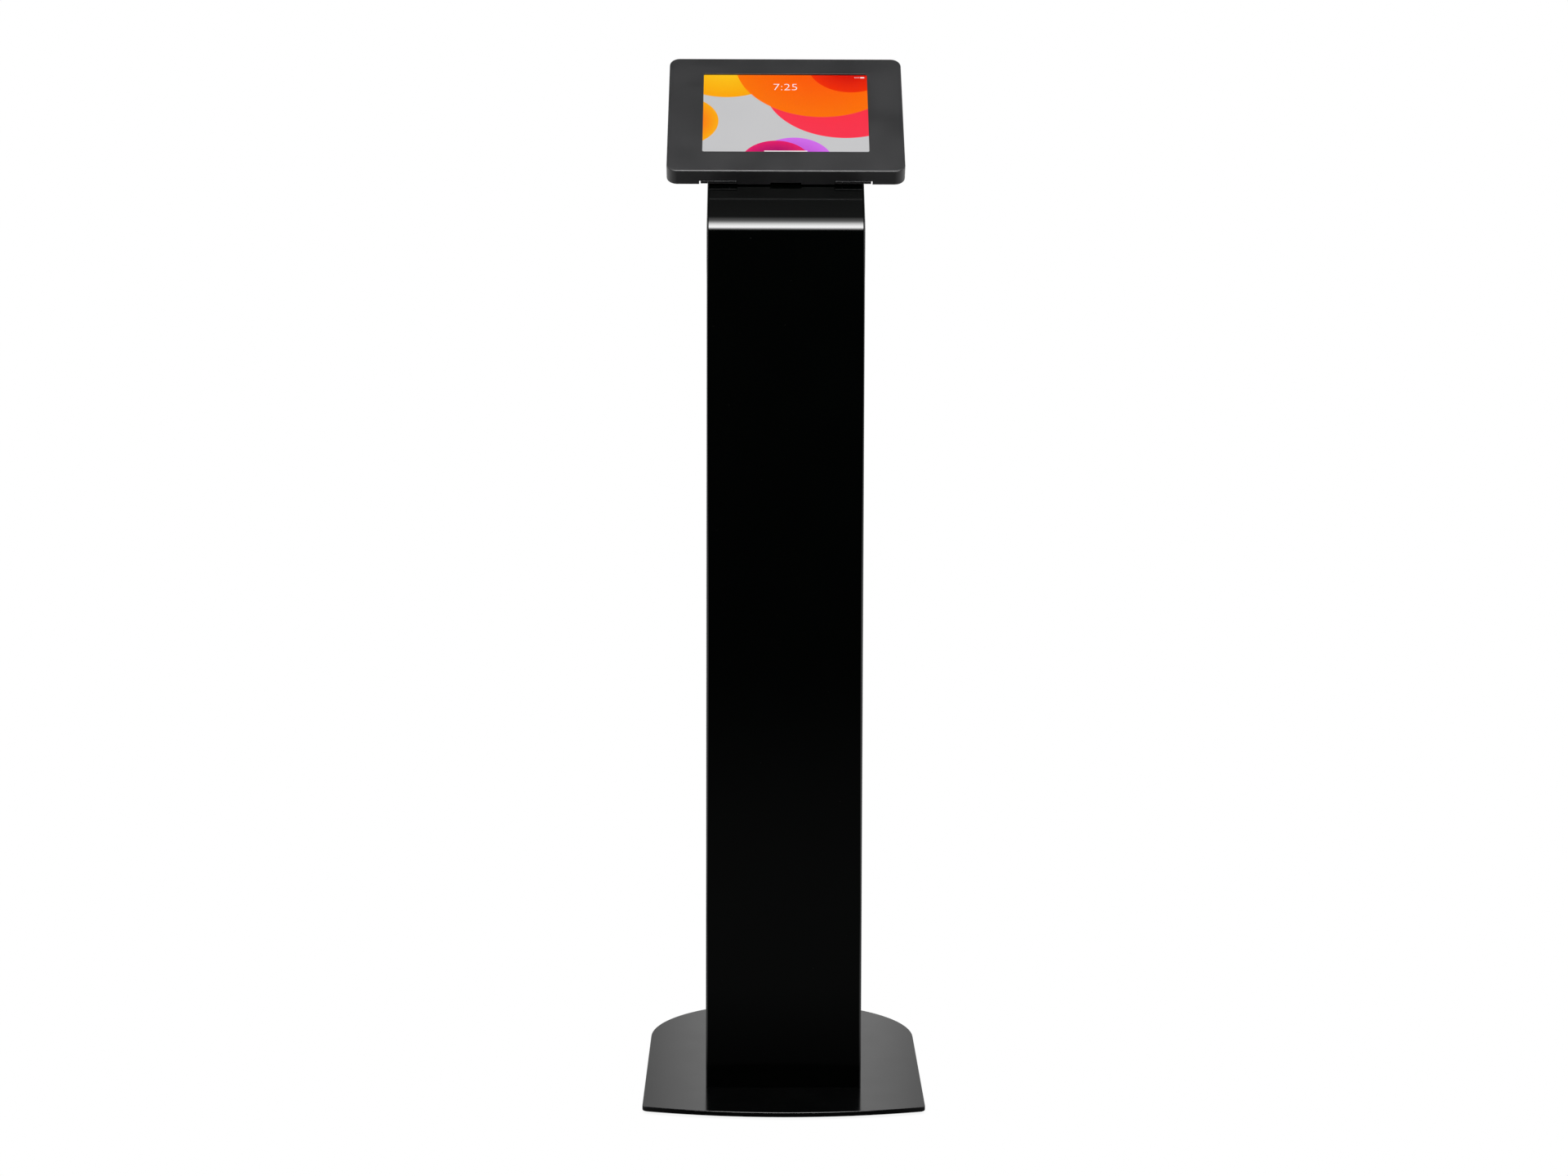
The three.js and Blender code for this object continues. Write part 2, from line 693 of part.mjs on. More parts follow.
function addBackTray() {
  const { sheet, cornerRadius } = head;
  const u = sideU - trayInset;
  const rimN = backN + trayWall;
  const top = highV - trayInset;
  const outer = roundedRect(-u, u, lowV + trayInset, top, cornerRadius - trayInset);
  const inner = roundedRect(
    -u + sheet,
    u - sheet,
    lowV - cornerRadius,
    top - sheet,
    cornerRadius - trayInset - sheet,
  );
  const lockHalf = coverLock.body + 2;
  const lockRoomN = coverLock.n - coverLock.body - 3 * GAP;
  const lockNotch = box(-lockHalf, lockHalf, top - 2 * sheet, highV, lockRoomN, rimN + PAST);
  const stop = bar(turnStop.pin + GAP, backN - PAST, trayFloorN + PAST, 12)
    .translate([turnStop.radius, 0, 0])
    .rotate([0, 0, turnStop.fromDegrees]);
  const belowEdge = box(-sideU, sideU, lowV - PAST, trayEdgeV, backN - PAST, rimN + PAST);
  const tray = prism(outer, backN, rimN)
    .subtract(prism(inner, trayFloorN, rimN + PAST))
    .subtract(belowEdge)
    .subtract(lockNotch)
    .subtract(bar(pivotBore.hole, backN - PAST, trayFloorN + PAST, 32))
    .subtract(stop)
    .add(lockCatch());
  part(headGroup, "back_tray", tray, materials.headSteel);
}

// A folded hook beside the lock: the cam turns in under its ledge.
function lockCatch() {
  const camTopV = highV - coverLock.depth - 2 * GAP;
  const { u0, u1, ledgeU, depth, over } = catchPost;
  const v0 = camTopV - coverLock.camThickness - depth;
  const v1 = camTopV + GAP / 2;
  const ledgeN = coverLock.n + coverLock.camWidth / 2 + over;
  const post = box(u0, u1, v0, v1, trayFloorN - over, ledgeN + head.sheet);
  return post.add(box(ledgeU, u1, v0, v1, ledgeN, ledgeN + head.sheet));
}

function addFrontCover() {
  const { sheet, cornerRadius, edgeRadius } = head;
  const outline = roundedRect(-sideU, sideU, lowV, highV, cornerRadius, 6);
  const inside = roundedRect(
    -sideU + sheet,
    sideU - sheet,
    lowV + sheet,
    highV - sheet,
    cornerRadius - sheet,
    6,
  );
  const screenHalf = display.width / 2;
  const window = roundedRect(
    -screenHalf,
    screenHalf,
    displayV - display.height / 2,
    displayV + display.height / 2,
    2,
    2,
  );
  const rimmed = rimmedPrism(outline, backN - 2 * edgeRadius, faceN, edgeRadius, 4);
  const lockHole = bar(coverLock.body + GAP, highV - 2 * sheet, highV + PAST, 20)
    .rotate([-90, 0, 0])
    .translate([0, 0, coverLock.n]);
  const edgeCut = (u0, u1, topN) =>
    box(u0, u1, lowV - PAST, lowV + sheet + PAST, backN - PAST, topN);
  let cover = rimmed
    .intersect(box(-sideU - PAST, sideU + PAST, lowV - PAST, highV + PAST, backN, faceN + PAST))
    .subtract(prism(inside, backN - PAST, faceN - sheet))
    .subtract(prism(window, faceN - sheet - PAST, faceN + PAST))
    .subtract(lockHole)
    .subtract(edgeCut(-notch.half, notch.half, backN + notch.height));
  const knuckleTop = hingeAxis.n + hinge.radius + knuckleRoom.above;
  for (const { sign } of mirrored) {
    const near = sign * (hinge.from - knuckleRoom.near);
    const far = sign * (hinge.to + knuckleRoom.far);
    cover = cover.subtract(edgeCut(Math.min(near, far), Math.max(near, far), knuckleTop));
  }
  part(headGroup, "front_cover", cover, materials.headSteel);
  // The lock's own axis runs along +y, and its cam points back at the tray until it is turned.
  addCamLock(headGroup, "cover_lock", coverLock, (solid) =>
    solid.rotate([-90, 0, 0]).rotate([0, 180, 0]).translate([0, highV, coverLock.n]),
  );
}

// Knuckles of one leaf, every second one from `first`, along x from `from`.
function knuckles(first, length) {
  const barrels = [];
  for (let i = first; i < hinge.knuckles; i += 2) {
    const x0 = hinge.from + i * (length + GAP);
    barrels.push({ x0, x1: x0 + length });
  }
  return barrels;
}

function addCoverHinge(side, sign) {
  const length = (hinge.to - hinge.from - (hinge.knuckles - 1) * GAP) / hinge.knuckles;
  const { v, n } = hingeAxis;
  const barrel = ({ x0, x1 }) => alongX(bar(hinge.radius, x0, x1, 16)).translate([0, v, n]);
  const bore = alongX(bar(hinge.pinRadius + GAP, hinge.from - PAST, hinge.to + PAST, 12));
  const { sheet, fixedWidth, movingWidth, clear } = hingeLeaf;
  const leafV = trayEdgeV - clear;
  const fixedN = trayFloorN + GAP;
  const fixedTabs = knuckles(0, length).flatMap(({ x0, x1 }) => [
    barrel({ x0, x1 }),
    box(x0, x1, v + sheet, leafV + sheet, fixedN, fixedN + sheet),
  ]);
  const fixed = joined([
    box(hinge.from, hinge.to, leafV, leafV + fixedWidth, fixedN, fixedN + sheet),
    ...fixedTabs,
  ]).subtract(bore.translate([0, v, n]));
  const wallV = lowV + head.sheet + GAP;
  const leafN = n + hinge.radius + clear;
  const movingTabs = knuckles(1, length).flatMap(({ x0, x1 }) => [
    barrel({ x0, x1 }),
    box(x0, x1, wallV, wallV + sheet, n + sheet, leafN + sheet),
  ]);
  const moving = joined([
    box(hinge.from, hinge.to, wallV, wallV + sheet, leafN, leafN + movingWidth),
    ...movingTabs,
  ]).subtract(bore.translate([0, v, n]));
  const pin = alongX(bar(hinge.pinRadius, hinge.from, hinge.to, 12)).translate([0, v, n]);
  const toSide = (solid) => (sign > 0 ? solid : solid.mirror([1, 0, 0]));
  part(headGroup, `cover_hinge_fixed_leaf_${side}`, toSide(fixed), materials.blackSteel);
  part(headGroup, `cover_hinge_moving_leaf_${side}`, toSide(moving), materials.blackSteel);
  part(headGroup, `cover_hinge_pin_${side}`, toSide(pin), materials.zinc);
}

// ---------------------------------------------------------------- tablet

const retainer = { size: 26, lip: 5.5, height: 16.5 };
const button = { length: 10, width: 2, out: 0.5, deep: 0.8, play: 0.4 };
const homeButton = { u: 114.5, radius: 5.5, wellDepth: 1.8, below: 0.9, sunk: 0.1 };
const port = { depth: 7, halfWidth: 4, halfHeight: 1.2 };
const panelBorder = 1;
const panelThickness = 1.5;
const panelSunk = 0.1;
const sleepButtonV = 60;
const volumeButtons = [
  { name: "volume_up_button", u: -86 },
  { name: "volume_down_button", u: -73 },
];
const bodyTopN = glassN - 0.9;
const buttonN = tabletBackN + 3.3;

// Where the tablet's edge buttons sit; each is a small bar let into a recess.
function edgeButtons() {
  const { length, width, out, deep } = button;
  const shape = (grow) => box(
    -length / 2 - grow,
    length / 2 + grow,
    -deep - (grow ? button.play : 0),
    out + (grow ? PAST : 0),
    buttonN - width / 2 - grow,
    buttonN + width / 2 + grow,
  );
  const onTop = (u) => (solid) => solid.translate([u, tabletHighV, 0]);
  const onLeft = (solid) => solid.rotate([0, 0, 90]).translate([-tabletU, sleepButtonV, 0]);
  return [
    { name: "sleep_button", place: onLeft },
    ...volumeButtons.map(({ name, u }) => ({ name, place: onTop(u) })),
  ].map(({ name, place }) => ({ name, solid: place(shape(0)), recess: place(shape(GAP)) }));
}

function addTablet() {
  const buttons = edgeButtons();
  const screenU = display.width / 2 + panelBorder;
  const screenV = display.height / 2 + panelBorder;
  const panel = roundedRect(-screenU, screenU, displayV - screenV, displayV + screenV, 2, 1);
  const pocketGrow = { u: screenU + GAP, v: screenV + GAP };
  const pocket = roundedRect(
    -pocketGrow.u,
    pocketGrow.u,
    displayV - pocketGrow.v,
    displayV + pocketGrow.v,
    2,
    1,
  );
  const { glassInset, cornerRadius } = tablet;
  const glassOutline = roundedRect(
    -tabletU + glassInset,
    tabletU - glassInset,
    tabletLowV + glassInset,
    tabletHighV - glassInset,
    cornerRadius - glassInset,
  );
  const bodyOutline = roundedRect(-tabletU, tabletU, tabletLowV, tabletHighV, cornerRadius);
  const portHole = box(
    tabletU - port.depth,
    tabletU + PAST,
    displayV - port.halfWidth,
    displayV + port.halfWidth,
    portN - port.halfHeight,
    portN + port.halfHeight,
  );
  const wellRadius = homeButton.radius + 2 * GAP;
  const well = bar(wellRadius, bodyTopN - homeButton.wellDepth, bodyTopN + PAST, 20);
  const panelBottom = bodyTopN - panelSunk - panelThickness;
  let body = rimmedPrism(bodyOutline, tabletBackN, bodyTopN + tablet.rim, tablet.rim, 2)
    .intersect(box(-FAR, FAR, -FAR, FAR, tabletBackN - PAST, bodyTopN))
    .subtract(prism(pocket, panelBottom - GAP, bodyTopN + PAST))
    .subtract(well.translate([homeButton.u, displayV, 0]))
    .subtract(portHole);
  for (const { name, solid, recess } of buttons) {
    body = body.subtract(recess);
    part(headGroup, name, solid, materials.aluminium);
  }
  part(headGroup, "tablet_body", body, materials.aluminium);
  const screen = prism(panel, panelBottom, panelBottom + panelThickness);
  part(headGroup, "tablet_display", screen, materials.screen);
  const buttonHole = bar(homeButton.radius + GAP, bodyTopN - PAST, glassN + PAST, 20);
  const glass = prism(glassOutline, bodyTopN + GAP, glassN).subtract(
    buttonHole.translate([homeButton.u, displayV, 0]),
  );
  part(headGroup, "tablet_glass", glass, materials.glass);
  const { radius, below, sunk } = homeButton;
  const home = bar(radius, bodyTopN - below, glassN - sunk, 20);
  part(headGroup, "home_button", home.translate([homeButton.u, displayV, 0]), materials.glass);
}

// Four foam corners hold the tablet off the tray and centred behind the window.
function addRetainers() {
  const { size, lip, height } = retainer;
  const pocket = prism(
    roundedRect(
      -tabletU - GAP,
      tabletU + GAP,
      tabletLowV - GAP,
      tabletHighV + GAP,
      tablet.cornerRadius + GAP,
    ),
    tabletBackN - GAP,
    faceN,
  );
  for (const { side, sign } of mirrored) {
    const far = sign * (tabletU + lip);
    const near = sign * (tabletU + lip - size);
    const [u0, u1] = [Math.min(near, far), Math.max(near, far)];
    const bottom = trayFloorN + GAP;
    const lower = box(u0, u1, tabletLowV - lip, tabletLowV - lip + size, bottom, bottom + height);
    const upper = box(u0, u1, tabletHighV + lip - size, tabletHighV + lip, bottom, bottom + height);
    part(headGroup, `foam_retainer_lower_${side}`, lower.subtract(pocket), materials.foam);
    part(headGroup, `foam_retainer_upper_${side}`, upper.subtract(pocket), materials.foam);
  }
}

// ---------------------------------------------------------------- build

addFoot();
addColumnShell();
addNeckCover();
addDoor();
addDoorHinge("lower", doorHinge.z[0]);
addDoorHinge("upper", doorHinge.z[1]);
addGrommet();
addPower();
addHeadMount();
addUpperCable();
addBackTray();
addFrontCover();
for (const { side, sign } of mirrored) addCoverHinge(side, sign);
addTablet();
addRetainers();

export default kiosk;
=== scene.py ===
"""Looks for the touchscreen kiosk: finishes, fine geometry, studio light and camera around the CAD frame."""
import json
import math

import bmesh
import bpy
from mathutils import Matrix, Vector


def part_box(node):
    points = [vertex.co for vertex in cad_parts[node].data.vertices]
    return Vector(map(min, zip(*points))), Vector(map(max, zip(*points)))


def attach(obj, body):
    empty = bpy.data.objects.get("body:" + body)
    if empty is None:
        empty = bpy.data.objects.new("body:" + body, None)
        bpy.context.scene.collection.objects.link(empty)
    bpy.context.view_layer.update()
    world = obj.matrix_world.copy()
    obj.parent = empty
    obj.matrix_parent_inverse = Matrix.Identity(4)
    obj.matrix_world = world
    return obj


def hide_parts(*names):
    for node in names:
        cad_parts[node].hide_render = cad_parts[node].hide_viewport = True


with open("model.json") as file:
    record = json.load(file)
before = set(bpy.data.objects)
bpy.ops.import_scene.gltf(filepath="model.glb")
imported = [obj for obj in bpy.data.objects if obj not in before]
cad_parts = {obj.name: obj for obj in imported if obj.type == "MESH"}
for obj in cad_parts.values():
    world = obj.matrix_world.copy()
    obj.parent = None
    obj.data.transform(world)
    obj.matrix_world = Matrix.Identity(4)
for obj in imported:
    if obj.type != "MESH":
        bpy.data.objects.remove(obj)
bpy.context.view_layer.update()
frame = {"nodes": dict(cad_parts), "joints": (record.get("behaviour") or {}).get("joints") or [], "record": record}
nodes = frame["nodes"]
scene = bpy.context.scene

# ---------------------------------------------------------------- places, from the frame

MM = 0.001
UP = Vector((0, 0, 1))
REARWARD = Vector((0, 1, 0))
head_turn = next(j for j in frame["joints"] if j["name"] == "head_turn")
face_normal = Vector(head_turn["axis"])
face_up = face_normal.cross(Vector((-1, 0, 0)))
face_tilt = math.atan2(-face_normal.y, face_normal.z)
# Head coordinates: x across, y up the face, z out of it, from the point where the head turns.
head_matrix = Matrix.Translation(head_turn["pos_m"]) @ Matrix.Rotation(face_tilt, 4, "X")


def corners(points):
    """The lowest and the highest corner of the box that holds the points."""
    low = Vector(min(p[i] for p in points) for i in range(3))
    high = Vector(max(p[i] for p in points) for i in range(3))
    return low, high


def head_box(node):
    """A node's lowest and highest corners in head coordinates."""
    back = head_matrix.inverted()
    return corners([back @ v.co for v in nodes[node].data.vertices])


def round_piece(node, outward):
    """Where a round node lies along an axis: a matrix at its outer end, its radius and its length."""
    turn = Vector(outward).to_track_quat("Z", "Y").to_matrix().to_4x4()
    back = turn.inverted()
    low, high = corners([back @ v.co for v in nodes[node].data.vertices])
    middle = (low + high) / 2
    end = turn @ Matrix.Translation((middle.x, middle.y, high.z))
    radius = max(high.x - low.x, high.y - low.y) / 2
    return end, radius, high.z - low.z


display_low, display_high = head_box("tablet_display")
_, glass_high = head_box("tablet_glass")
# The display shows through the cover's window, which leaves this much of its edge hidden.
window_edge = 1 * MM
window_low = display_low + Vector((window_edge, window_edge, 0))
window_high = display_high - Vector((window_edge, window_edge, 0))
window_width = window_high.x - window_low.x
window_height = window_high.y - window_low.y


# ---------------------------------------------------------------- node graphs

class Graph:
    """A material's node tree with one-line ways to add what the finishes need."""

    def __init__(self, name):
        self.material = bpy.data.materials.new(name)
        self.material.use_nodes = True
        self.tree = self.material.node_tree
        self.surface = self.tree.nodes["Principled BSDF"]
        self.output = self.tree.nodes["Material Output"]

    def add(self, kind, **settings):
        """A new node of a kind, with its settings by name."""
        node = self.tree.nodes.new(kind)
        for key, value in settings.items():
            setattr(node, key, value)
        return node

    def join(self, source, target):
        """A link from an output socket to an input socket."""
        self.tree.links.new(source, target)

    def feed(self, socket, value):
        """Sets a socket to a number or colour, or joins it to another socket."""
        if isinstance(value, bpy.types.NodeSocket):
            self.join(value, socket)
        elif isinstance(value, tuple) and len(value) == 3 and socket.type == "RGBA":
            socket.default_value = (*value, 1.0)
        else:
            socket.default_value = value

    def set(self, **values):
        """Inputs of the surface shader by name, with _ for a space."""
        for key, value in values.items():
            self.feed(self.surface.inputs[key.replace("_", " ")], value)

    def place(self, stretch=(1, 1, 1)):
        """Object coordinates in metres, optionally stretched."""
        mapping = self.add("ShaderNodeMapping")
        mapping.inputs["Scale"].default_value = stretch
        self.join(self.add("ShaderNodeTexCoord").outputs["Object"], mapping.inputs["Vector"])
        return mapping.outputs["Vector"]

    def noise(self, size, detail=2.0, stretch=(1, 1, 1)):
        """Noise with features of about `size` metres."""
        texture = self.add("ShaderNodeTexNoise")
        texture.inputs["Scale"].default_value = 1 / size
        texture.inputs["Detail"].default_value = detail
        self.join(self.place(stretch), texture.inputs["Vector"])
        return texture.outputs["Fac"]

    def cells(self, size, feature="F1"):
        """Distance from the centres of cells of about `size` metres, 0 to about 1."""
        texture = self.add("ShaderNodeTexVoronoi", feature=feature)
        texture.inputs["Scale"].default_value = 1 / size
        self.join(self.place(), texture.inputs["Vector"])
        return texture.outputs["Distance"]

    def spread(self, value, low, high, start=0.3, end=0.7, shape="LINEAR"):
        """Maps start..end of a value to low..high."""
        node = self.add("ShaderNodeMapRange", interpolation_type=shape)
        for key, number in zip(("From Min", "From Max", "To Min", "To Max"), (start, end, low, high)):
            node.inputs[key].default_value = number
        self.join(value, node.inputs["Value"])
        return node.outputs["Result"]

    def maths(self, operation, a, b=0.0):
        """A number from one or two numbers or sockets."""
        node = self.add("ShaderNodeMath", operation=operation)
        self.feed(node.inputs[0], a)
        self.feed(node.inputs[1], b)
        return node.outputs[0]

    def vector(self, operation, a, b):
        """A number from two vectors, such as their distance."""
        node = self.add("ShaderNodeVectorMath", operation=operation)
        self.feed(node.inputs[0], a)
        self.feed(node.inputs[1], b)
        return node.outputs["Value"]

    def mix(self, factor, a, b):
        """A colour between a and b, each a colour or a socket."""
        node = self.add("ShaderNodeMix", data_type="RGBA")
        self.feed(node.inputs[0], factor)
        self.feed(node.inputs[6], a)
        self.feed(node.inputs[7], b)
        return node.outputs[2]

    def bump(self, height, depth):
        """Relief of `depth` metres from a 0..1 height."""
        node = self.add("ShaderNodeBump")
        node.inputs["Distance"].default_value = depth
        self.join(height, node.inputs["Height"])
        self.set(Normal=node.outputs["Normal"])


# ---------------------------------------------------------------- finishes

DUST = (0.30, 0.29, 0.27)


def powder_coat(name, colour, rough, grain, relief, dust=0.0, scuffs=0.0):
    """Baked paint: a fine orange peel, slow changes of sheen, settled dust and fine scuffs."""
    graph = Graph(name)
    tone_patch, speck_gap, scuff_width, scuff_patch = 90 * MM, 11 * MM, 1.1 * MM, 60 * MM
    along_depth = (1, 0.06, 1)
    lighter = tuple(c * 1.4 + 0.00005 for c in colour)
    tone = graph.mix(graph.spread(graph.noise(tone_patch, 3), 0, 1), colour, lighter)
    speck = graph.spread(graph.cells(speck_gap), 1, 0, 0.015, 0.035)
    rare = graph.spread(graph.noise(4 * MM, 0), 0, 1, 0.62, 0.66)
    settled = graph.maths("MULTIPLY", graph.maths("MULTIPLY", speck, rare), dust)
    rub = graph.spread(graph.noise(scuff_width, 2, along_depth), 0, 1, 0.68, 0.78)
    where = graph.spread(graph.noise(scuff_patch, 2), 0, 1, 0.5, 0.65)
    scuffed = graph.maths("MULTIPLY", graph.maths("MULTIPLY", rub, where), scuffs)
    tone = graph.mix(settled, tone, DUST)
    graph.set(Base_Color=graph.mix(scuffed, tone, DUST))
    wiped_upright = (1, 1, 0.35)
    wipe = graph.spread(graph.noise(50 * MM, 4, wiped_upright), rough * 0.88, rough * 1.15)
    graph.set(Roughness=graph.maths("ADD", wipe, graph.maths("MULTIPLY", scuffed, 0.5)))
    graph.bump(graph.noise(grain, 2), relief)
    return graph.material


def bare_metal(name, colour, rough, grain=0.0006, stretch=(1, 1, 1)):
    """Plated or brushed metal with fine drawn lines and slight staining."""
    graph = Graph(name)
    stained = tuple(c * 0.8 for c in colour)
    stain_patch = 6 * MM
    graph.set(Base_Color=graph.mix(graph.spread(graph.noise(stain_patch, 4), 0, 1), colour, stained))
    graph.set(Metallic=1.0)
    graph.set(Roughness=graph.spread(graph.noise(grain, 3, stretch), rough * 0.75, rough * 1.3))
    graph.bump(graph.noise(grain, 2, stretch), 0.01 * MM)
    return graph.material


def moulded(name, colour, rough, grain, relief):
    """Rubber or plastic with an even moulded grain and a little handling wear."""
    graph = Graph(name)
    darker = tuple(c * 0.72 for c in colour)
    graph.set(Base_Color=graph.mix(graph.spread(graph.noise(grain * 6, 3), 0, 1), colour, darker))
    graph.set(Roughness=graph.spread(graph.noise(grain * 12, 3), rough * 0.85, min(1.0, rough * 1.1)))
    graph.bump(graph.noise(grain, 3), relief)
    return graph.material


def closed_cell_foam(name, colour):
    """Foam with open pores where it was cut, with painted shade at the bottom of each of its pores."""
    graph = Graph(name)
    pore_size, pore_depth = 1.1 * MM, 0.3 * MM
    pore_relief_and_shade = graph.spread(graph.cells(pore_size), 0, 1, 0.15, 0.55)
    # Painted shade: the colour darkens towards the middle of each of the pores, where the bump sinks their hollows
    # deepest.
    graph.set(Base_Color=graph.mix(pore_relief_and_shade, tuple(c * 0.35 for c in colour), colour))
    graph.set(Roughness=graph.spread(graph.noise(4 * MM, 2), 0.88, 1.0))
    graph.set(Sheen_Weight=0.25)
    graph.bump(pore_relief_and_shade, pore_depth)
    return graph.material


def inside_window(graph, soft=0.2 * MM):
    """1 where a point lies over the window in the cover, 0 outside it."""
    place = graph.place()
    middle = head_matrix @ ((window_low + window_high) / 2)
    inside = []
    for axis, half in ((Vector((1, 0, 0)), window_width / 2), (face_up, window_height / 2)):
        offset = graph.maths("SUBTRACT", graph.vector("DOT_PRODUCT", place, tuple(axis)), axis.dot(middle))
        reach = half + window_edge / 2
        inside.append(graph.spread(graph.maths("ABSOLUTE", offset), 1, 0, reach, reach + soft))
    return graph.maths("MULTIPLY", *inside)


def cover_glass(name):
    """Coated glass, clear over the display, with a black printed border that hides the rest."""
    graph = Graph(name)
    smear = graph.noise(20 * MM, 4, (1, 0.4, 1))
    coating_index = 1.30
    graph.set(Base_Color=graph.mix(graph.noise(0.05, 2), (0.003, 0.003, 0.0035), (0.006, 0.006, 0.0065)))
    graph.set(Roughness=graph.spread(smear, 0.03, 0.09), Specular_IOR_Level=0.22)
    clear = graph.add("ShaderNodeBsdfTransparent")
    gloss = graph.add("ShaderNodeBsdfGlossy")
    graph.join(graph.spread(smear, 0.03, 0.09), gloss.inputs["Roughness"])
    edge_on = graph.add("ShaderNodeFresnel")
    edge_on.inputs["IOR"].default_value = coating_index
    inner_side = graph.add("ShaderNodeNewGeometry").outputs["Backfacing"]
    outer_side = graph.maths("SUBTRACT", 1.0, inner_side)
    pane = graph.add("ShaderNodeMixShader")
    graph.join(graph.maths("MULTIPLY", edge_on.outputs[0], outer_side), pane.inputs[0])
    graph.join(clear.outputs[0], pane.inputs[1])
    graph.join(gloss.outputs[0], pane.inputs[2])
    whole = graph.add("ShaderNodeMixShader")
    graph.join(inside_window(graph), whole.inputs[0])
    graph.join(graph.surface.outputs[0], whole.inputs[1])
    graph.join(pane.outputs[0], whole.inputs[2])
    graph.join(whole.outputs[0], graph.output.inputs["Surface"])
    return graph.material


def lit_picture(name):
    """A plain abstract of overlapping discs in warm colours on pale grey, lit from behind."""
    graph = Graph(name)
    place = graph.place()
    # Each disc: its centre and radius as shares of the window's width, its inner and its outer colour.
    discs = (
        (-0.64, -0.07, 0.235, (1.0, 0.10, 0.0), (1.0, 0.42, 0.005)),
        (-0.36, 0.56, 0.40, (1.0, 0.60, 0.01), (1.0, 0.38, 0.0)),
        (0.36, 0.26, 0.49, (0.98, 0.03, 0.06), (0.96, 0.035, 0.075)),
        (0.22, 0.50, 0.53, (1.0, 0.105, 0.0), (1.0, 0.17, 0.0)),
        (0.40, 0.47, 0.26, (0.66, 0.002, 0.0), (0.90, 0.025, 0.0)),
        (0.05, -0.46, 0.235, (0.50, 0.07, 0.62), (0.66, 0.16, 0.84)),
        (-0.06, -0.47, 0.215, (0.24, 0.0, 0.13), (0.80, 0.012, 0.14)),
    )
    middle = (window_low + window_high) / 2
    colour = graph.mix(graph.noise(0.12, 1), (0.60, 0.60, 0.61), (0.55, 0.55, 0.56))
    for across, up, radius, inner, outer in discs:
        offset = Vector((across * window_width, up * window_width, 0))
        centre = head_matrix @ (middle + offset)
        distance = graph.vector("DISTANCE", place, tuple(centre))
        reach = radius * window_width
        edge = graph.spread(distance, 1, 0, reach - 0.4 * MM, reach)
        shade = graph.mix(graph.spread(distance, 0, 1, reach * 0.35, reach), inner, outer)
        colour = graph.mix(edge, colour, shade)
    graph.set(Base_Color=(0.002, 0.002, 0.002), Roughness=0.4, Specular_IOR_Level=0.0)
    graph.set(Emission_Color=colour, Emission_Strength=1.0)
    return graph.material


def lit_mark(name):
    """White marks drawn by the display."""
    graph = Graph(name)
    glow = graph.mix(graph.noise(0.01, 1), (0.93, 0.93, 0.93), (0.97, 0.97, 0.97))
    graph.set(Base_Color=(0.01, 0.01, 0.01), Roughness=0.4, Specular_IOR_Level=0.0)
    graph.set(Emission_Color=glow, Emission_Strength=1.0)
    return graph.material


materials = {
    "base_steel": powder_coat("base_steel", (0.0007, 0.0008, 0.0008), 0.14, 0.0016, 0.000005, 0.15, 0.02),
    "column_steel": powder_coat("column_steel", (0.0001, 0.0002, 0.00015), 0.08, 0.0022, 0.000004, 0.10),
    "head_steel": powder_coat("head_steel", (0.0042, 0.0042, 0.0046), 0.43, 0.0007, 0.00002, 0.06),
    "black_steel": bare_metal("black_steel", (0.035, 0.035, 0.036), 0.38),
    "zinc": bare_metal("zinc", (0.56, 0.57, 0.58), 0.3),
    "lock_metal": bare_metal("lock_metal", (0.62, 0.61, 0.59), 0.16),
    "rubber": moulded("rubber", (0.018, 0.018, 0.018), 0.85, 0.0008, 0.00006),
    "nylon": moulded("nylon", (0.72, 0.70, 0.65), 0.5, 0.001, 0.00002),
    "foam": closed_cell_foam("foam", (0.035, 0.035, 0.038)),
    "tablet_aluminium": bare_metal("tablet_aluminium", (0.52, 0.53, 0.54), 0.36, 0.0003),
    "tablet_glass": cover_glass("tablet_glass"),
    "screen": lit_picture("screen"),
    "screen_mark": lit_mark("screen_mark"),
    "white_plastic": moulded("white_plastic", (0.50, 0.50, 0.49), 0.38, 0.0009, 0.00002),
    "cable": moulded("cable", (0.46, 0.46, 0.45), 0.5, 0.0009, 0.00003),
    "lens": moulded("lens", (0.004, 0.005, 0.012), 0.08, 0.002, 0.000001),
}

# ---------------------------------------------------------------- CAD nodes: finishes and edges

EDGE = 0.35 * MM
JOINED = 0.005 * MM
FLAT = math.radians(0.6)
SHARP = math.radians(34)


def finish_cad_node(node, material):
    """One finish over the whole node, with its vertices joined and its sharp edges slightly rounded."""
    mesh = node.data
    mesh.materials.clear()
    mesh.materials.append(material)
    mesh.shade_smooth()
    whole = node.modifiers.new("whole", "WELD")
    whole.merge_threshold = JOINED
    flat = node.modifiers.new("flat_faces", "DECIMATE")
    flat.decimate_type = "DISSOLVE"
    flat.angle_limit = FLAT
    edges = node.modifiers.new("edges", "BEVEL")
    edges.width = EDGE
    edges.segments = 2
    edges.limit_method = "ANGLE"
    edges.angle_limit = SHARP
    edges.harden_normals = True
    weights = node.modifiers.new("normals", "WEIGHTED_NORMAL")
    weights.keep_sharp = True
    weights.weight = 80


slot_of = {s["node"]: s["material_slot"] for s in frame["record"]["subparts"]}
body_of = {n: body for body, names in frame["record"]["behaviour"]["bodies"].items() for n in names}
for name, node in nodes.items():
    finish_cad_node(node, materials[slot_of[name]])

# ---------------------------------------------------------------- fine pieces: tools

SIDES = 48


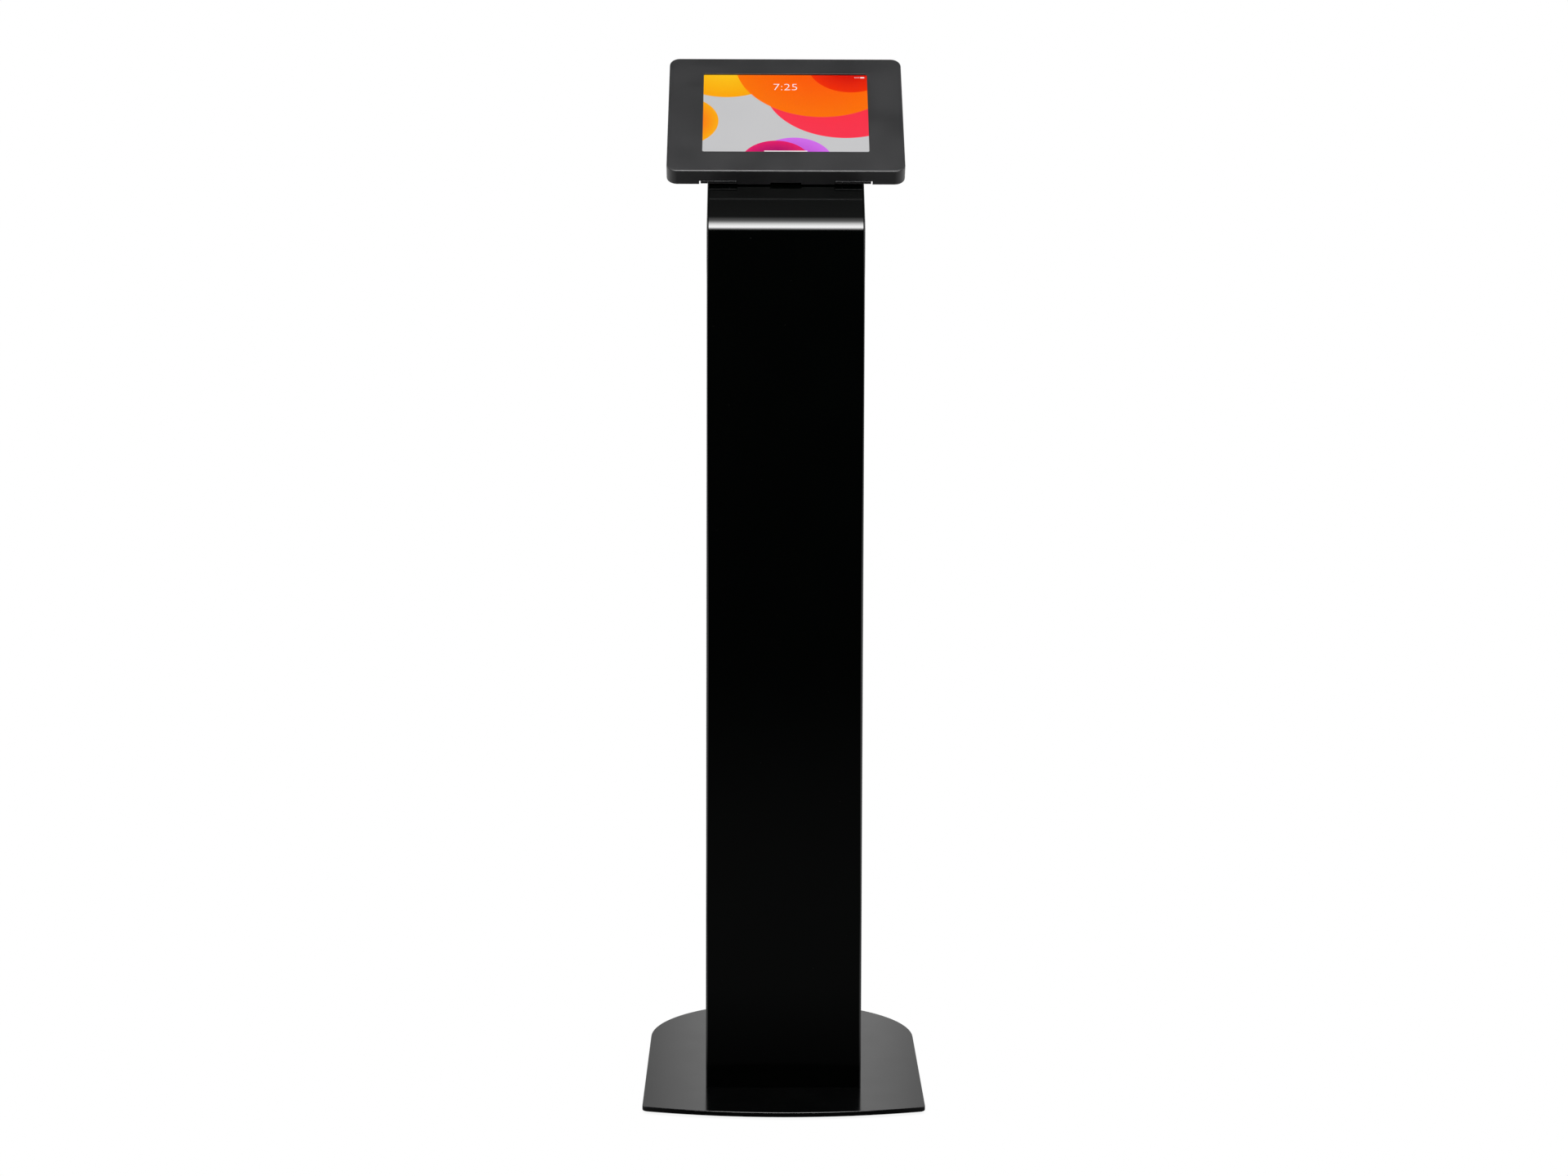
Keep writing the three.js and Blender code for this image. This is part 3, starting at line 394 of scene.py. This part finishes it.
def outline(shape, angle):
    """A point at an angle on an outline: a radius for a circle, or a name with its measures."""
    c, s = math.cos(angle), math.sin(angle)
    if isinstance(shape, (int, float)):
        return shape * c, shape * s
    kind, *measures = shape
    if kind == "hexagon":
        across = measures[0] / math.cos((angle % (math.pi / 3)) - math.pi / 6)
        return across * c, across * s
    if kind == "slot":
        half_x, half_y = measures
        reach = 1.06 * max(measures)
        return max(-half_x, min(half_x, reach * c)), max(-half_y, min(half_y, reach * s))
    half_x, half_y, radius = measures
    x = math.copysign(half_x - radius, c) + radius * c
    return x, math.copysign(half_y - radius, s) + radius * s


def stacked(rings, sides=SIDES, hollow=False):
    """A closed body through outlines (shape, z). A hollow one joins its last outline to its first."""
    body = bmesh.new()
    loops = []
    for shape, z in rings:
        turns = [math.tau * (i + 0.5) / sides for i in range(sides)]
        loops.append([body.verts.new((*outline(shape, turn), z)) for turn in turns])
    following = loops[1:] + loops[:1] if hollow else loops[1:]
    for low, high in zip(loops, following):
        for i in range(sides):
            j = (i + 1) % sides
            body.faces.new((low[i], low[j], high[j], high[i]))
    if not hollow:
        body.faces.new(loops[0])
        body.faces.new(loops[-1])
    bmesh.ops.recalc_face_normals(body, faces=body.faces)
    return body


def piece(name, body, slot, rides, place=Matrix(), stands_for=None, material=None):
    """Makes a body of mesh code a named piece that rides on a CAD body."""
    mesh = bpy.data.meshes.new(name)
    body.transform(place)
    body.to_mesh(mesh)
    body.free()
    mesh.shade_smooth()
    mesh.set_sharp_from_angle(angle=math.radians(38))
    mesh.materials.append(materials[material or slot])
    shown = bpy.data.objects.new(name, mesh)
    scene.collection.objects.link(shown)
    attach(shown, rides)
    if stands_for:
        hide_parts(stands_for)
    return shown


def instead_of(node, body, place=Matrix()):
    """A finer piece for a CAD node, in the same place, finish and body."""
    return piece(f"{node}_fine", body, slot_of[node], body_of[node], place, node)


def evaluated(shown):
    """An object's mesh as bmesh, with its modifiers applied; the object itself is removed."""
    bpy.context.view_layer.update()
    depsgraph = bpy.context.evaluated_depsgraph_get()
    mesh = bpy.data.meshes.new_from_object(shown.evaluated_get(depsgraph), depsgraph=depsgraph)
    body = bmesh.new()
    body.from_mesh(mesh)
    bpy.data.objects.remove(shown)
    bpy.data.meshes.remove(mesh)
    return body


def sweep(points, radius):
    """A round cord along a smooth curve from the first point to the last."""
    curve = bpy.data.curves.new("cord", "CURVE")
    curve.dimensions = "3D"
    curve.bevel_depth = radius
    curve.bevel_resolution = 4
    curve.use_fill_caps = True
    curve.resolution_u = 12
    path = curve.splines.new("NURBS")
    path.points.add(len(points) - 1)
    for control, point in zip(path.points, points):
        control.co = (*point, 1)
    path.order_u = 4
    path.use_endpoint_u = True
    shown = bpy.data.objects.new("cord", curve)
    scene.collection.objects.link(shown)
    body = evaluated(shown)
    bmesh.ops.remove_doubles(body, verts=body.verts, dist=0.01 * MM)
    bmesh.ops.recalc_face_normals(body, faces=body.faces)
    return body


# ---------------------------------------------------------------- fine pieces: fasteners and locks

# Thread radii.
M3, M8 = 1.5 * MM, 4 * MM


def threaded(radius, low, high, pitch):
    """Outlines of a threaded shank from its tip up to `high`."""
    count = int((high - low) / pitch)
    rings = [(radius * 0.7, low), (radius * 0.8, low + pitch / 2)]
    for i in range(1, count):
        z = low + i * pitch
        rings += [(radius, z), (radius * 0.84, z + pitch / 2)]
    return rings


def hex_socket(radius, depth):
    """Outlines of a hexagon socket sunk into a screw's head."""
    return [(radius * 1.25, 0), (("hexagon", radius), -0.12 * MM), (("hexagon", radius), -depth),
            (radius * 0.3, -depth * 1.15)]


def button_screw(node, outward, thread):
    """A domed screw with a hexagon socket."""
    place, radius, length = round_piece(node, outward)
    height = 2 * MM
    rings = threaded(thread, -length, -height - 0.3 * MM, 0.5 * MM)
    rings += [(thread, -height), (radius * 0.96, -height), (radius, -height + 0.15 * MM)]
    for step in range(1, 7):
        turn = math.radians(15 * step)
        rise = height - 0.5 * MM
        rings.append((radius * (0.55 + 0.45 * math.cos(turn)), -rise + rise * math.sin(turn)))
    instead_of(node, stacked(rings + hex_socket(radius * 0.36, height * 0.6)), place)


def countersunk_bolt(node, outward, thread):
    """A flat-headed bolt with a hexagon socket, flush with the plate that it holds."""
    place, radius, length = round_piece(node, outward)
    cone = radius - thread
    rings = threaded(thread, -length, -cone - 0.5 * MM, 1.25 * MM)
    rings += [(thread, -cone), (radius - 0.3 * MM, -0.4 * MM), (radius - 0.1 * MM, -0.1 * MM)]
    rings += [(radius - 0.4 * MM, 0)]
    instead_of(node, stacked(rings + hex_socket(radius * 0.36, cone * 0.7)), place)


def lock_barrel(node, plug_node, outward):
    """A cam lock's threaded barrel under a turned rim, open down its middle for the plug."""
    place, rim, length = round_piece(node, outward)
    _, plug, _ = round_piece(plug_node, outward)
    bore = plug + 0.2 * MM
    barrel = rim * 0.8
    rim_height = 1.2 * MM
    rings = [(bore, -length), (barrel - 0.5 * MM, -length)]
    rings += threaded(barrel, -length, -rim_height - 0.6 * MM, 0.75 * MM)[2:]
    rings += [(barrel, -rim_height), (rim - 0.1 * MM, -rim_height), (rim, -rim_height + 0.15 * MM)]
    rings += [(rim, -0.55 * MM), (rim - 0.25 * MM, -0.2 * MM), (rim - 0.8 * MM, 0)]
    rings += [(bore + 0.9 * MM, 0), (bore + 0.5 * MM, -0.25 * MM), (bore, -0.45 * MM)]
    instead_of(node, stacked(rings, hollow=True), place)
    return length


def lock_plug(node, outward, barrel_length):
    """The part of a cam lock that turns with the key, with its keyway."""
    place, radius, length = round_piece(node, outward)
    tail = radius * 0.54
    face = -0.3 * MM
    keyway = ("slot", 0.5 * MM, 2 * MM)
    rings = [(tail * 0.8, -length), (tail, -length + 0.3 * MM), (tail, -barrel_length - 0.2 * MM)]
    rings += [(radius, -barrel_length - 0.1 * MM), (radius, face - 0.35 * MM)]
    rings += [(radius - 0.35 * MM, face), (radius * 0.62, face), (radius * 0.58, face - 0.12 * MM)]
    rings += [(("slot", 0.62 * MM, 2.15 * MM), face - 0.12 * MM), (keyway, face - 0.3 * MM)]
    instead_of(node, stacked(rings + [(keyway, -4 * MM)]), place)


def hinge_rivets(node, count=3):
    """Domed rivets that hold a door hinge's leaf, in a column down its flat."""
    low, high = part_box(node)
    radius = 1.9 * MM
    face = high.y
    dome = [(radius, 0)]
    for step in range(1, 6):
        turn = math.radians(18 * step)
        dome.append((radius * math.cos(turn) + 0.02 * MM, 0.75 * MM * math.sin(turn)))
    for i in range(count):
        z = low.z + (high.z - low.z) * (i + 0.5) / count
        x = high.x - (6 if i % 2 else 4.5) * MM
        place = Matrix.Translation((x, face, z)) @ Matrix.Rotation(-math.pi / 2, 4, "X")
        piece(f"{node}_rivet_{i + 1}", stacked(dome, 24), "black_steel", body_of[node], place)


# ---------------------------------------------------------------- fine pieces: rubber, foam, cables

def rubber_foot(node):
    """A moulded disc with a rounded rim and two grooves in its sole."""
    place, radius, height = round_piece(node, -UP)
    groove = 0.5 * MM
    rings = [(radius - 0.6 * MM, -height), (radius, -height + 0.6 * MM), (radius, -0.7 * MM)]
    rings += [(radius - 0.25 * MM, -0.2 * MM), (radius - 0.8 * MM, 0)]
    for share in (0.8, 0.5):
        rings += [(radius * share, 0), (radius * share - 0.3 * MM, -groove)]
        rings += [(radius * share - 1.2 * MM, -groove), (radius * share - 1.5 * MM, 0)]
    instead_of(node, stacked(rings), place)


def grommet():
    """A rubber ring that grips both sides of the door's sheet."""
    place, flange, length = round_piece("cable_grommet", REARWARD)
    bore = flange - 8 * MM
    waist = flange - 3.5 * MM
    lip = 2 * MM
    half = [(bore, 0.8 * MM), (bore + 0.4 * MM, 0.2 * MM), (bore + 1.3 * MM, 0), (bore + 2.6 * MM, 0.3 * MM)]
    half += [(waist, 0.8 * MM), (flange - 0.6 * MM, 1.1 * MM), (flange, 1.6 * MM)]
    half += [(flange - 0.2 * MM, lip + 0.6 * MM), (waist, lip + 0.7 * MM)]
    near = [(radius, -depth) for radius, depth in half]
    far = [(radius, depth - length) for radius, depth in reversed(half)]
    instead_of("cable_grommet", stacked(near + far, hollow=True), place)


def foam_block(node):
    """The CAD block recast with soft edges and an open-pored skin, shrunk a little inside itself."""
    soft = bpy.data.objects.new("foam", nodes[node].data.copy())
    scene.collection.objects.link(soft)
    recast = soft.modifiers.new("recast", "REMESH")
    recast.mode = "VOXEL"
    recast.voxel_size = 0.7 * MM
    rounded = soft.modifiers.new("rounded", "SMOOTH")
    rounded.factor = 0.5
    rounded.iterations = 5
    pores = bpy.data.textures.new("pores", "VORONOI")
    pores.noise_scale = 2.2 * MM
    skin = soft.modifiers.new("skin", "DISPLACE")
    skin.texture = pores
    skin.texture_coords = "LOCAL"
    skin.strength = 0.35 * MM
    skin.mid_level = 1.0
    instead_of(node, evaluated(soft))


def strain_relief(name, place, radius, cord_radius, length, rides):
    """A tapered, ribbed sleeve where a cord leaves its plug."""
    ribs = 6
    rings = [(radius * 0.9, 0), (radius, 0.3 * MM)]
    for i in range(ribs):
        share = i / ribs
        outer = radius + (cord_radius + 0.5 * MM - radius) * share
        z = length * (0.1 + 0.9 * share)
        step = length * 0.9 / ribs
        rings += [(outer, z), (outer, z + step * 0.5), (outer - 0.45 * MM, z + step * 0.62)]
        rings += [(outer - 0.45 * MM, z + step * 0.9)]
    rings += [(cord_radius + 0.1 * MM, length)]
    piece(name, stacked(rings, 32), "cable", rides, place)


CORD_RADIUS = 1.8 * MM
BOOT_LENGTH = 14 * MM


def lower_cable():
    """From the turning point down inside the neck and column to the adapter."""
    _, adapter_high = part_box("power_adapter")
    column_low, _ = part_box("column_shell")
    entry = Vector((0, adapter_high.y - 5 * MM, adapter_high.z + 0.3 * MM))
    cable_y = column_low.y + 42 * MM
    in_neck = [(0, -12.3), (-1, -20), (-14, -26), (-60, -28), (-120, -26)]
    down_column = (1.03, 0.9, 0.6, 0.3)
    above_adapter = (0.16, 0.12, entry.z + 1 * MM)
    path = [head_matrix @ Vector((0, v * MM, n * MM)) for v, n in in_neck]
    path += [Vector((0, cable_y, height)) for height in down_column]
    path += [Vector((0, entry.y, height)) for height in above_adapter]
    instead_of("charging_cable_lower", sweep(path, CORD_RADIUS))
    place = Matrix.Translation(entry)
    strain_relief("adapter_strain_relief", place, 3 * MM, CORD_RADIUS, BOOT_LENGTH, "stand")


def upper_cable():
    """From the tablet's port round to the middle of the tray and out through the hollow bush."""
    plug_low, plug_high = head_box("charging_plug")
    across = plug_high.x - 4.3 * MM
    up = (plug_low.y + plug_high.y) / 2
    tray_gap = 9.5 * MM
    path = [
        (across, up, plug_low.z - 0.3 * MM),
        (across, up, plug_low.z - 3 * MM),
        (across - 3 * MM, up, tray_gap),
        (across - 20 * MM, up, tray_gap),
        (across / 2, up / 2, tray_gap),
        (20 * MM, 0, tray_gap),
        (2 * MM, 0, tray_gap),
        (0, 0, 5 * MM),
        (0, 0, -12 * MM),
    ]
    placed = [head_matrix @ Vector(point) for point in path]
    instead_of("charging_cable_upper", sweep(placed, CORD_RADIUS))


def charging_plug():
    """A moulded grip with finger ridges and a metal tongue that enters the tablet's port."""
    low, high = head_box("charging_plug")
    middle = (low + high) / 2
    half_v = (high.y - low.y) / 2
    half_n = (high.z - low.z) / 2
    grip = 9 * MM
    length = high.x - low.x
    side = Matrix.Rotation(math.pi / 2, 4, "Y")
    place = head_matrix @ Matrix.Translation((high.x, middle.y, middle.z)) @ side

    def section(inset):
        # Local x runs along -n and local y along v, so the grip's thickness comes first.
        return ("block", half_n - inset, half_v - inset, 1.6 * MM)

    tongue = ("block", 0.7 * MM, 3.3 * MM, 0.6 * MM)
    rings = [(tongue, -length), (tongue, -grip)]
    rings += [(section(0.5 * MM), -grip + 0.01 * MM), (section(0), -grip + 0.5 * MM)]
    for ridge in range(3):
        z = -grip + (2 + 1.6 * ridge) * MM
        rings += [(section(0), z), (section(0.35 * MM), z + 0.3 * MM), (section(0.35 * MM), z + 0.8 * MM)]
        rings += [(section(0), z + 1.1 * MM)]
    rings += [(section(0), -0.7 * MM), (section(0.5 * MM), 0)]
    instead_of("charging_plug", stacked(rings), place)


def power_adapter():
    """A rounded moulding with a shadow gap between its two halves."""
    low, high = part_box("power_adapter")
    middle = (low + high) / 2
    half = (high - low) / 2
    corner = 4 * MM

    def section(inset):
        return ("block", half.x - inset, half.y - inset, corner - inset)

    split = half.z * 0.35
    rings = [(section(2.2 * MM), -half.z), (section(1 * MM), -half.z + 0.3 * MM)]
    rings += [(section(0.3 * MM), -half.z + 1 * MM), (section(0), -half.z + 2.2 * MM)]
    rings += [(section(0), split), (section(0.5 * MM), split + 0.1 * MM)]
    rings += [(section(0.5 * MM), split + 0.7 * MM), (section(0), split + 0.8 * MM)]
    rings += [(section(0), half.z - 2.2 * MM), (section(0.3 * MM), half.z - 1 * MM)]
    rings += [(section(1 * MM), half.z - 0.3 * MM), (section(2.2 * MM), half.z)]
    instead_of("power_adapter", stacked(rings), Matrix.Translation(middle))


# ---------------------------------------------------------------- fine pieces: tablet and display

def on_face(across, up, out):
    """A place in head coordinates, as a matrix."""
    return head_matrix @ Matrix.Translation((across, up, out))


def tablet_details():
    """The ring round the home button and the camera's lens, both under the cover's frame."""
    button_low, button_high = head_box("home_button")
    button = (button_low + button_high) / 2
    radius = (button_high.x - button_low.x) / 2
    outer = radius - 0.15 * MM
    inner = outer - 0.45 * MM
    ring = [(outer, -0.05 * MM), (outer, 0.05 * MM), (outer - 0.1 * MM, 0.09 * MM)]
    ring += [(inner + 0.1 * MM, 0.09 * MM), (inner, 0.05 * MM), (inner, -0.05 * MM)]
    place = on_face(button.x, button.y, button_high.z)
    piece("home_button_ring", stacked(ring, hollow=True), "tablet_aluminium", "home_button", place)
    lens = [(1.7 * MM, -0.02 * MM), (1.7 * MM, 0.03 * MM), (1.5 * MM, 0.05 * MM), (1.2 * MM, 0.03 * MM)]
    lens += [(0.8 * MM, 0.06 * MM), (0.3 * MM, 0.075 * MM)]
    place = on_face(-button.x, button.y, glass_high.z)
    piece("tablet_camera_lens", stacked(lens), "tablet_glass", "head", place, material="lens")


MARK = 0.04 * MM
MARK_GAP = 0.1 * MM


def mark(name, shapes):
    """White marks just above the display, each (outline shape, across, up) from its middle."""
    middle = (window_low + window_high) / 2
    place = on_face(middle.x, middle.y, display_high.z + MARK_GAP)
    whole = bmesh.new()
    for shape, across, up in shapes:
        body = stacked([(shape, 0), (shape, MARK)], 32)
        body.transform(Matrix.Translation((across, up, 0)))
        mesh = bpy.data.meshes.new("mark")
        body.to_mesh(mesh)
        body.free()
        whole.from_mesh(mesh)
        bpy.data.meshes.remove(mesh)
    piece(name, whole, "screen", "head", place, material="screen_mark")


def clock_digits(time):
    """Plain digits of a clock near the top of the display."""
    text = bpy.data.curves.new("digits", "FONT")
    text.body = time
    text.size = 19 * MM
    text.align_x = "CENTER"
    text.extrude = MARK / 2
    text.offset = -0.35 * MM
    shown = bpy.data.objects.new("digits", text)
    scene.collection.objects.link(shown)
    body = evaluated(shown)
    bmesh.ops.remove_doubles(body, verts=body.verts, dist=0.001 * MM)
    middle = (window_low + window_high) / 2
    place = on_face(middle.x, window_high.y - 30 * MM, display_high.z + MARK_GAP)
    piece("screen_clock", body, "screen", "head", place, material="screen_mark")


def display_marks():
    """The clock, the bar at the display's lower edge and the status marks in its upper corner."""
    clock_digits("7:25")
    low = -window_height / 2
    mark("screen_bar", [(("block", 27 * MM, 0.8 * MM, 0.7 * MM), 0, low + 4 * MM)])
    row = window_height / 2 - 4 * MM
    right = window_width / 2
    dots = [(0.7 * MM, right - (15 - 2.4 * i) * MM, row) for i in range(3)]
    battery = [(("block", 2.4 * MM, 1.1 * MM, 0.5 * MM), right - 6 * MM, row)]
    battery += [(("block", 0.3 * MM, 0.5 * MM, 0.2 * MM), right - 3 * MM, row)]
    mark("screen_status", dots + battery)


# ---------------------------------------------------------------- fine pieces: placed

for side in ("left", "right"):
    for level in ("lower", "upper"):
        button_screw(f"neck_cover_screw_{level}_{side}", -face_normal, M3)
        foam_block(f"foam_retainer_{level}_{side}")
    for end in ("front", "rear"):
        countersunk_bolt(f"base_bolt_{end}_{side}", -UP, M8)
        rubber_foot(f"rubber_foot_{end}_{side}")
for number in (1, 2, 3):
    button_screw(f"ring_screw_{number}", -face_normal, M3)
for lock, outward in (("door_lock", REARWARD), ("cover_lock", face_up)):
    barrel_length = lock_barrel(f"{lock}_body", f"{lock}_plug", outward)
    lock_plug(f"{lock}_plug", outward, barrel_length)
for level in ("lower", "upper"):
    hinge_rivets(f"door_hinge_leaf_half_{level}")
grommet()
lower_cable()
upper_cable()
charging_plug()
power_adapter()
tablet_details()
display_marks()

# ---------------------------------------------------------------- studio

WHITE = 1.0
# The canopy's strength in its bright low band, and overhead.
BAND = 20.0
CEILING = 2.0
SOFT = "SMOOTHSTEP"


def plain_sheet(name, points, faces):
    """A sheet of the studio, with an empty material to light it by."""
    mesh = bpy.data.meshes.new(name)
    mesh.from_pydata(points, [], faces)
    sheet = bpy.data.objects.new(name, mesh)
    scene.collection.objects.link(sheet)
    graph = Graph(name)
    graph.tree.nodes.remove(graph.surface)
    mesh.materials.append(graph.material)
    return sheet, graph


def mirrored_floor(graph):
    """The floor as the kiosk mirrors it: its grey patches beside, behind and ahead of the foot."""
    near_grey, far_grey, rear_grey, front_grey, least = 0.6, 1.0, 1.1, 0.05, 0.01
    x, y, _ = split(graph, graph.place())
    aside = graph.maths("ABSOLUTE", x)
    near = graph.spread(aside, 0, near_grey, 0.08, 0.45, SOFT)
    near = graph.maths("MULTIPLY", near, graph.spread(y, 0, 1, -1.2, -0.5, SOFT))
    far = graph.spread(aside, 0, far_grey, 0.45, 1.5, SOFT)
    far = graph.maths("MULTIPLY", far, graph.spread(y, 0, 1, -7.0, -3.5, SOFT))
    behind = graph.spread(y, 0, rear_grey, 0.1, 1.3, SOFT)
    ahead = graph.spread(y, front_grey, 0.01, -0.7, -0.27)
    ahead = graph.maths("MULTIPLY", ahead, graph.spread(y, 0, 1, -4.0, -1.0, SOFT))
    brightest = near
    for patch in (far, behind, ahead):
        brightest = graph.maths("MAXIMUM", brightest, patch)
    return graph.maths("ADD", brightest, least)


def build_floor():
    """White to the camera. In reflections it is dark in front of the kiosk and grey elsewhere."""
    size = 40
    shadow_reach, shadow_shade = 0.05, 0.9
    points = [(-size, -size, 0), (size, -size, 0), (size, size, 0), (-size, size, 0)]
    floor, graph = plain_sheet("floor", points, [(0, 1, 2, 3)])
    floor.location.z = -0.2 * MM
    contact = graph.add("ShaderNodeAmbientOcclusion", samples=8)
    contact.inputs["Distance"].default_value = shadow_reach
    seen = graph.spread(contact.outputs["AO"], shadow_shade, WHITE, 0.0, 0.7)
    shaded_by_ray(graph, seen, mirrored_floor(graph), "ShaderNodeEmission", graph.output)


def shaded_by_ray(graph, seen, mirrored, kind, output):
    """Joins two plain lights to an output: one for the camera and one for every other ray."""
    lights = [graph.add(kind) for _ in range(2)]
    for light, strength in zip(lights, (mirrored, seen)):
        graph.feed(light.inputs["Color"], (1.0, 1.0, 1.0))
        graph.feed(light.inputs["Strength"], strength)
    mixed = graph.add("ShaderNodeMixShader")
    graph.join(graph.add("ShaderNodeLightPath").outputs["Is Camera Ray"], mixed.inputs[0])
    for light, target in zip(lights, mixed.inputs[1:]):
        graph.join(light.outputs[0], target)
    graph.join(mixed.outputs[0], output.inputs["Surface"])


def degrees_over(graph, y, z):
    """Degrees from straight ahead, over the top, to straight behind."""
    forward = graph.maths("MULTIPLY", y, -1.0)
    return graph.maths("MULTIPLY", graph.maths("ARCTAN2", z, forward), 180 / math.pi)


def split(graph, vector):
    """The x, y and z of a vector, as sockets."""
    parts = graph.add("ShaderNodeSeparateXYZ")
    graph.join(vector, parts.inputs[0])
    return parts.outputs


def build_world():
    """A white room: pale walls behind and beside the kiosk, and a dark one in front of it."""
    world = bpy.data.worlds.new("studio")
    scene.world = world
    world.use_nodes = True
    graph = Graph.__new__(Graph)
    graph.tree = world.node_tree
    graph.tree.nodes.clear()
    x, y, z = split(graph, graph.add("ShaderNodeTexCoord").outputs["Generated"])
    rear_grey, side_grey, least = 0.62, 0.8, 0.008
    # The rear wall is brightest straight behind the column and far out, and dimmer between.
    middle, between = 0.010, 0.42
    behind = graph.spread(degrees_over(graph, y, z), 0, rear_grey, 108, 160, SOFT)
    off_centre = graph.maths("ABSOLUTE", graph.maths("SUBTRACT", x, middle))
    pool = graph.spread(off_centre, 1, between, 0.028, 0.047)
    pool = graph.maths("ADD", pool, graph.spread(off_centre, 0, 1 - between, 0.07, 0.3))
    behind = graph.maths("MULTIPLY", behind, pool)
    sides = graph.spread(graph.maths("ABSOLUTE", x), 0, side_grey, 0.35, 0.95, SOFT)
    room = graph.maths("ADD", graph.maths("MAXIMUM", behind, sides), least)
    output = graph.add("ShaderNodeOutputWorld")
    shaded_by_ray(graph, WHITE, room, "ShaderNodeBackground", output)


def column_bend():
    """Where the column's front face bends back into its neck."""
    column_low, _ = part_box("column_shell")
    pivot = Vector(head_turn["pos_m"])
    return pivot + face_up * ((column_low.y - pivot.y) / face_up.y)


def build_canopy():
    """A curved screen over the front of the kiosk, centred on the column's bend and brightest low down."""
    radius, half_width = 2.0, 1.1
    first, last, steps = 18, 114, 32
    low_edge, peak, faded = 20, 33, 74
    points = []
    for i in range(steps + 1):
        turn = math.radians(first + (last - first) * i / steps)
        y, z = -radius * math.cos(turn), radius * math.sin(turn)
        points += [(-half_width, y, z), (half_width, y, z)]
    faces = [(2 * i, 2 * i + 1, 2 * i + 3, 2 * i + 2) for i in range(steps)]
    canopy, graph = plain_sheet("canopy", points, faces)
    bend = column_bend()
    canopy.location = (0, bend.y, bend.z)
    canopy.visible_camera = False
    x, y, z = split(graph, graph.place())
    turn = degrees_over(graph, y, z)
    rise = graph.spread(turn, 0, BAND, low_edge, peak, SOFT)
    fall = graph.spread(turn, 1, 0, peak, faded, SOFT)
    ceiling = graph.spread(turn, CEILING, 0, 60, 107, SOFT)
    glow = graph.maths("ADD", graph.maths("MULTIPLY", rise, fall), ceiling)
    narrow = graph.spread(graph.maths("ABSOLUTE", x), 1, 0, 0.6, half_width, SOFT)
    light = graph.add("ShaderNodeEmission")
    graph.join(graph.maths("MULTIPLY", glow, narrow), light.inputs["Strength"])
    graph.join(light.outputs[0], graph.output.inputs["Surface"])


def softbox(name, target, azimuth, elevation, distance, width, height, radiance):
    """A rectangular lamp that faces a point. Azimuth 0 is in front of the kiosk, +90 to its right."""
    lamp = bpy.data.lights.new(name, "AREA")
    lamp.shape = "RECTANGLE"
    lamp.size = width
    lamp.size_y = height
    lamp.energy = radiance * math.pi * width * height
    light = bpy.data.objects.new(name, lamp)
    turn = math.radians(azimuth)
    lift = math.radians(elevation)
    away = Vector((math.sin(turn) * math.cos(lift), -math.cos(turn) * math.cos(lift), math.sin(lift)))
    light.location = Vector(target) + away * distance
    light.rotation_euler = away.to_track_quat("Z", "Y").to_euler()
    light.visible_camera = False
    scene.collection.objects.link(light)


def build_lights():
    """Tall strips on both sides and a square lamp high behind, all soft and weak."""
    distance = 2.4
    for side in (-1, 1):
        softbox(f"side_light_{side}", (0, 0, 0.7), side * 100, 12, distance, 0.5, 2.2, radiance=2.0)
    softbox("rear_light", (0, 0, 0.9), 165, 38, distance, 1.2, 1.2, radiance=3.0)


# ---------------------------------------------------------------- camera

def build_camera():
    """About four metres in front of the column, level with the head's lower edge and tipped down a little."""
    column_low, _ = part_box("column_shell")
    distance = 3.919
    height = 1.1231
    yaw = math.radians(0.371)
    pitch = math.radians(5.168)
    roll = math.radians(0.177)
    aside = -0.0062
    data = bpy.data.cameras.new("camera")
    data.sensor_width = 36
    data.lens = 73.45
    data.shift_x = 0.00243
    data.shift_y = -0.06704
    data.clip_end = 100
    camera = bpy.data.objects.new("camera", data)
    stand = Vector((aside, -distance, 0))
    stand.rotate(Matrix.Rotation(-yaw, 3, "Z"))
    turn = Matrix.Rotation(-yaw, 4, "Z") @ Matrix.Rotation(math.pi / 2 - pitch, 4, "X")
    turn = turn @ Matrix.Rotation(roll, 4, "Z")
    place = Matrix.Translation((stand.x, column_low.y + stand.y, height))
    camera.matrix_world = place @ turn
    scene.collection.objects.link(camera)
    scene.camera = camera


build_floor()
build_world()
build_canopy()
build_lights()
build_camera()
scene.view_settings.view_transform = "Standard"
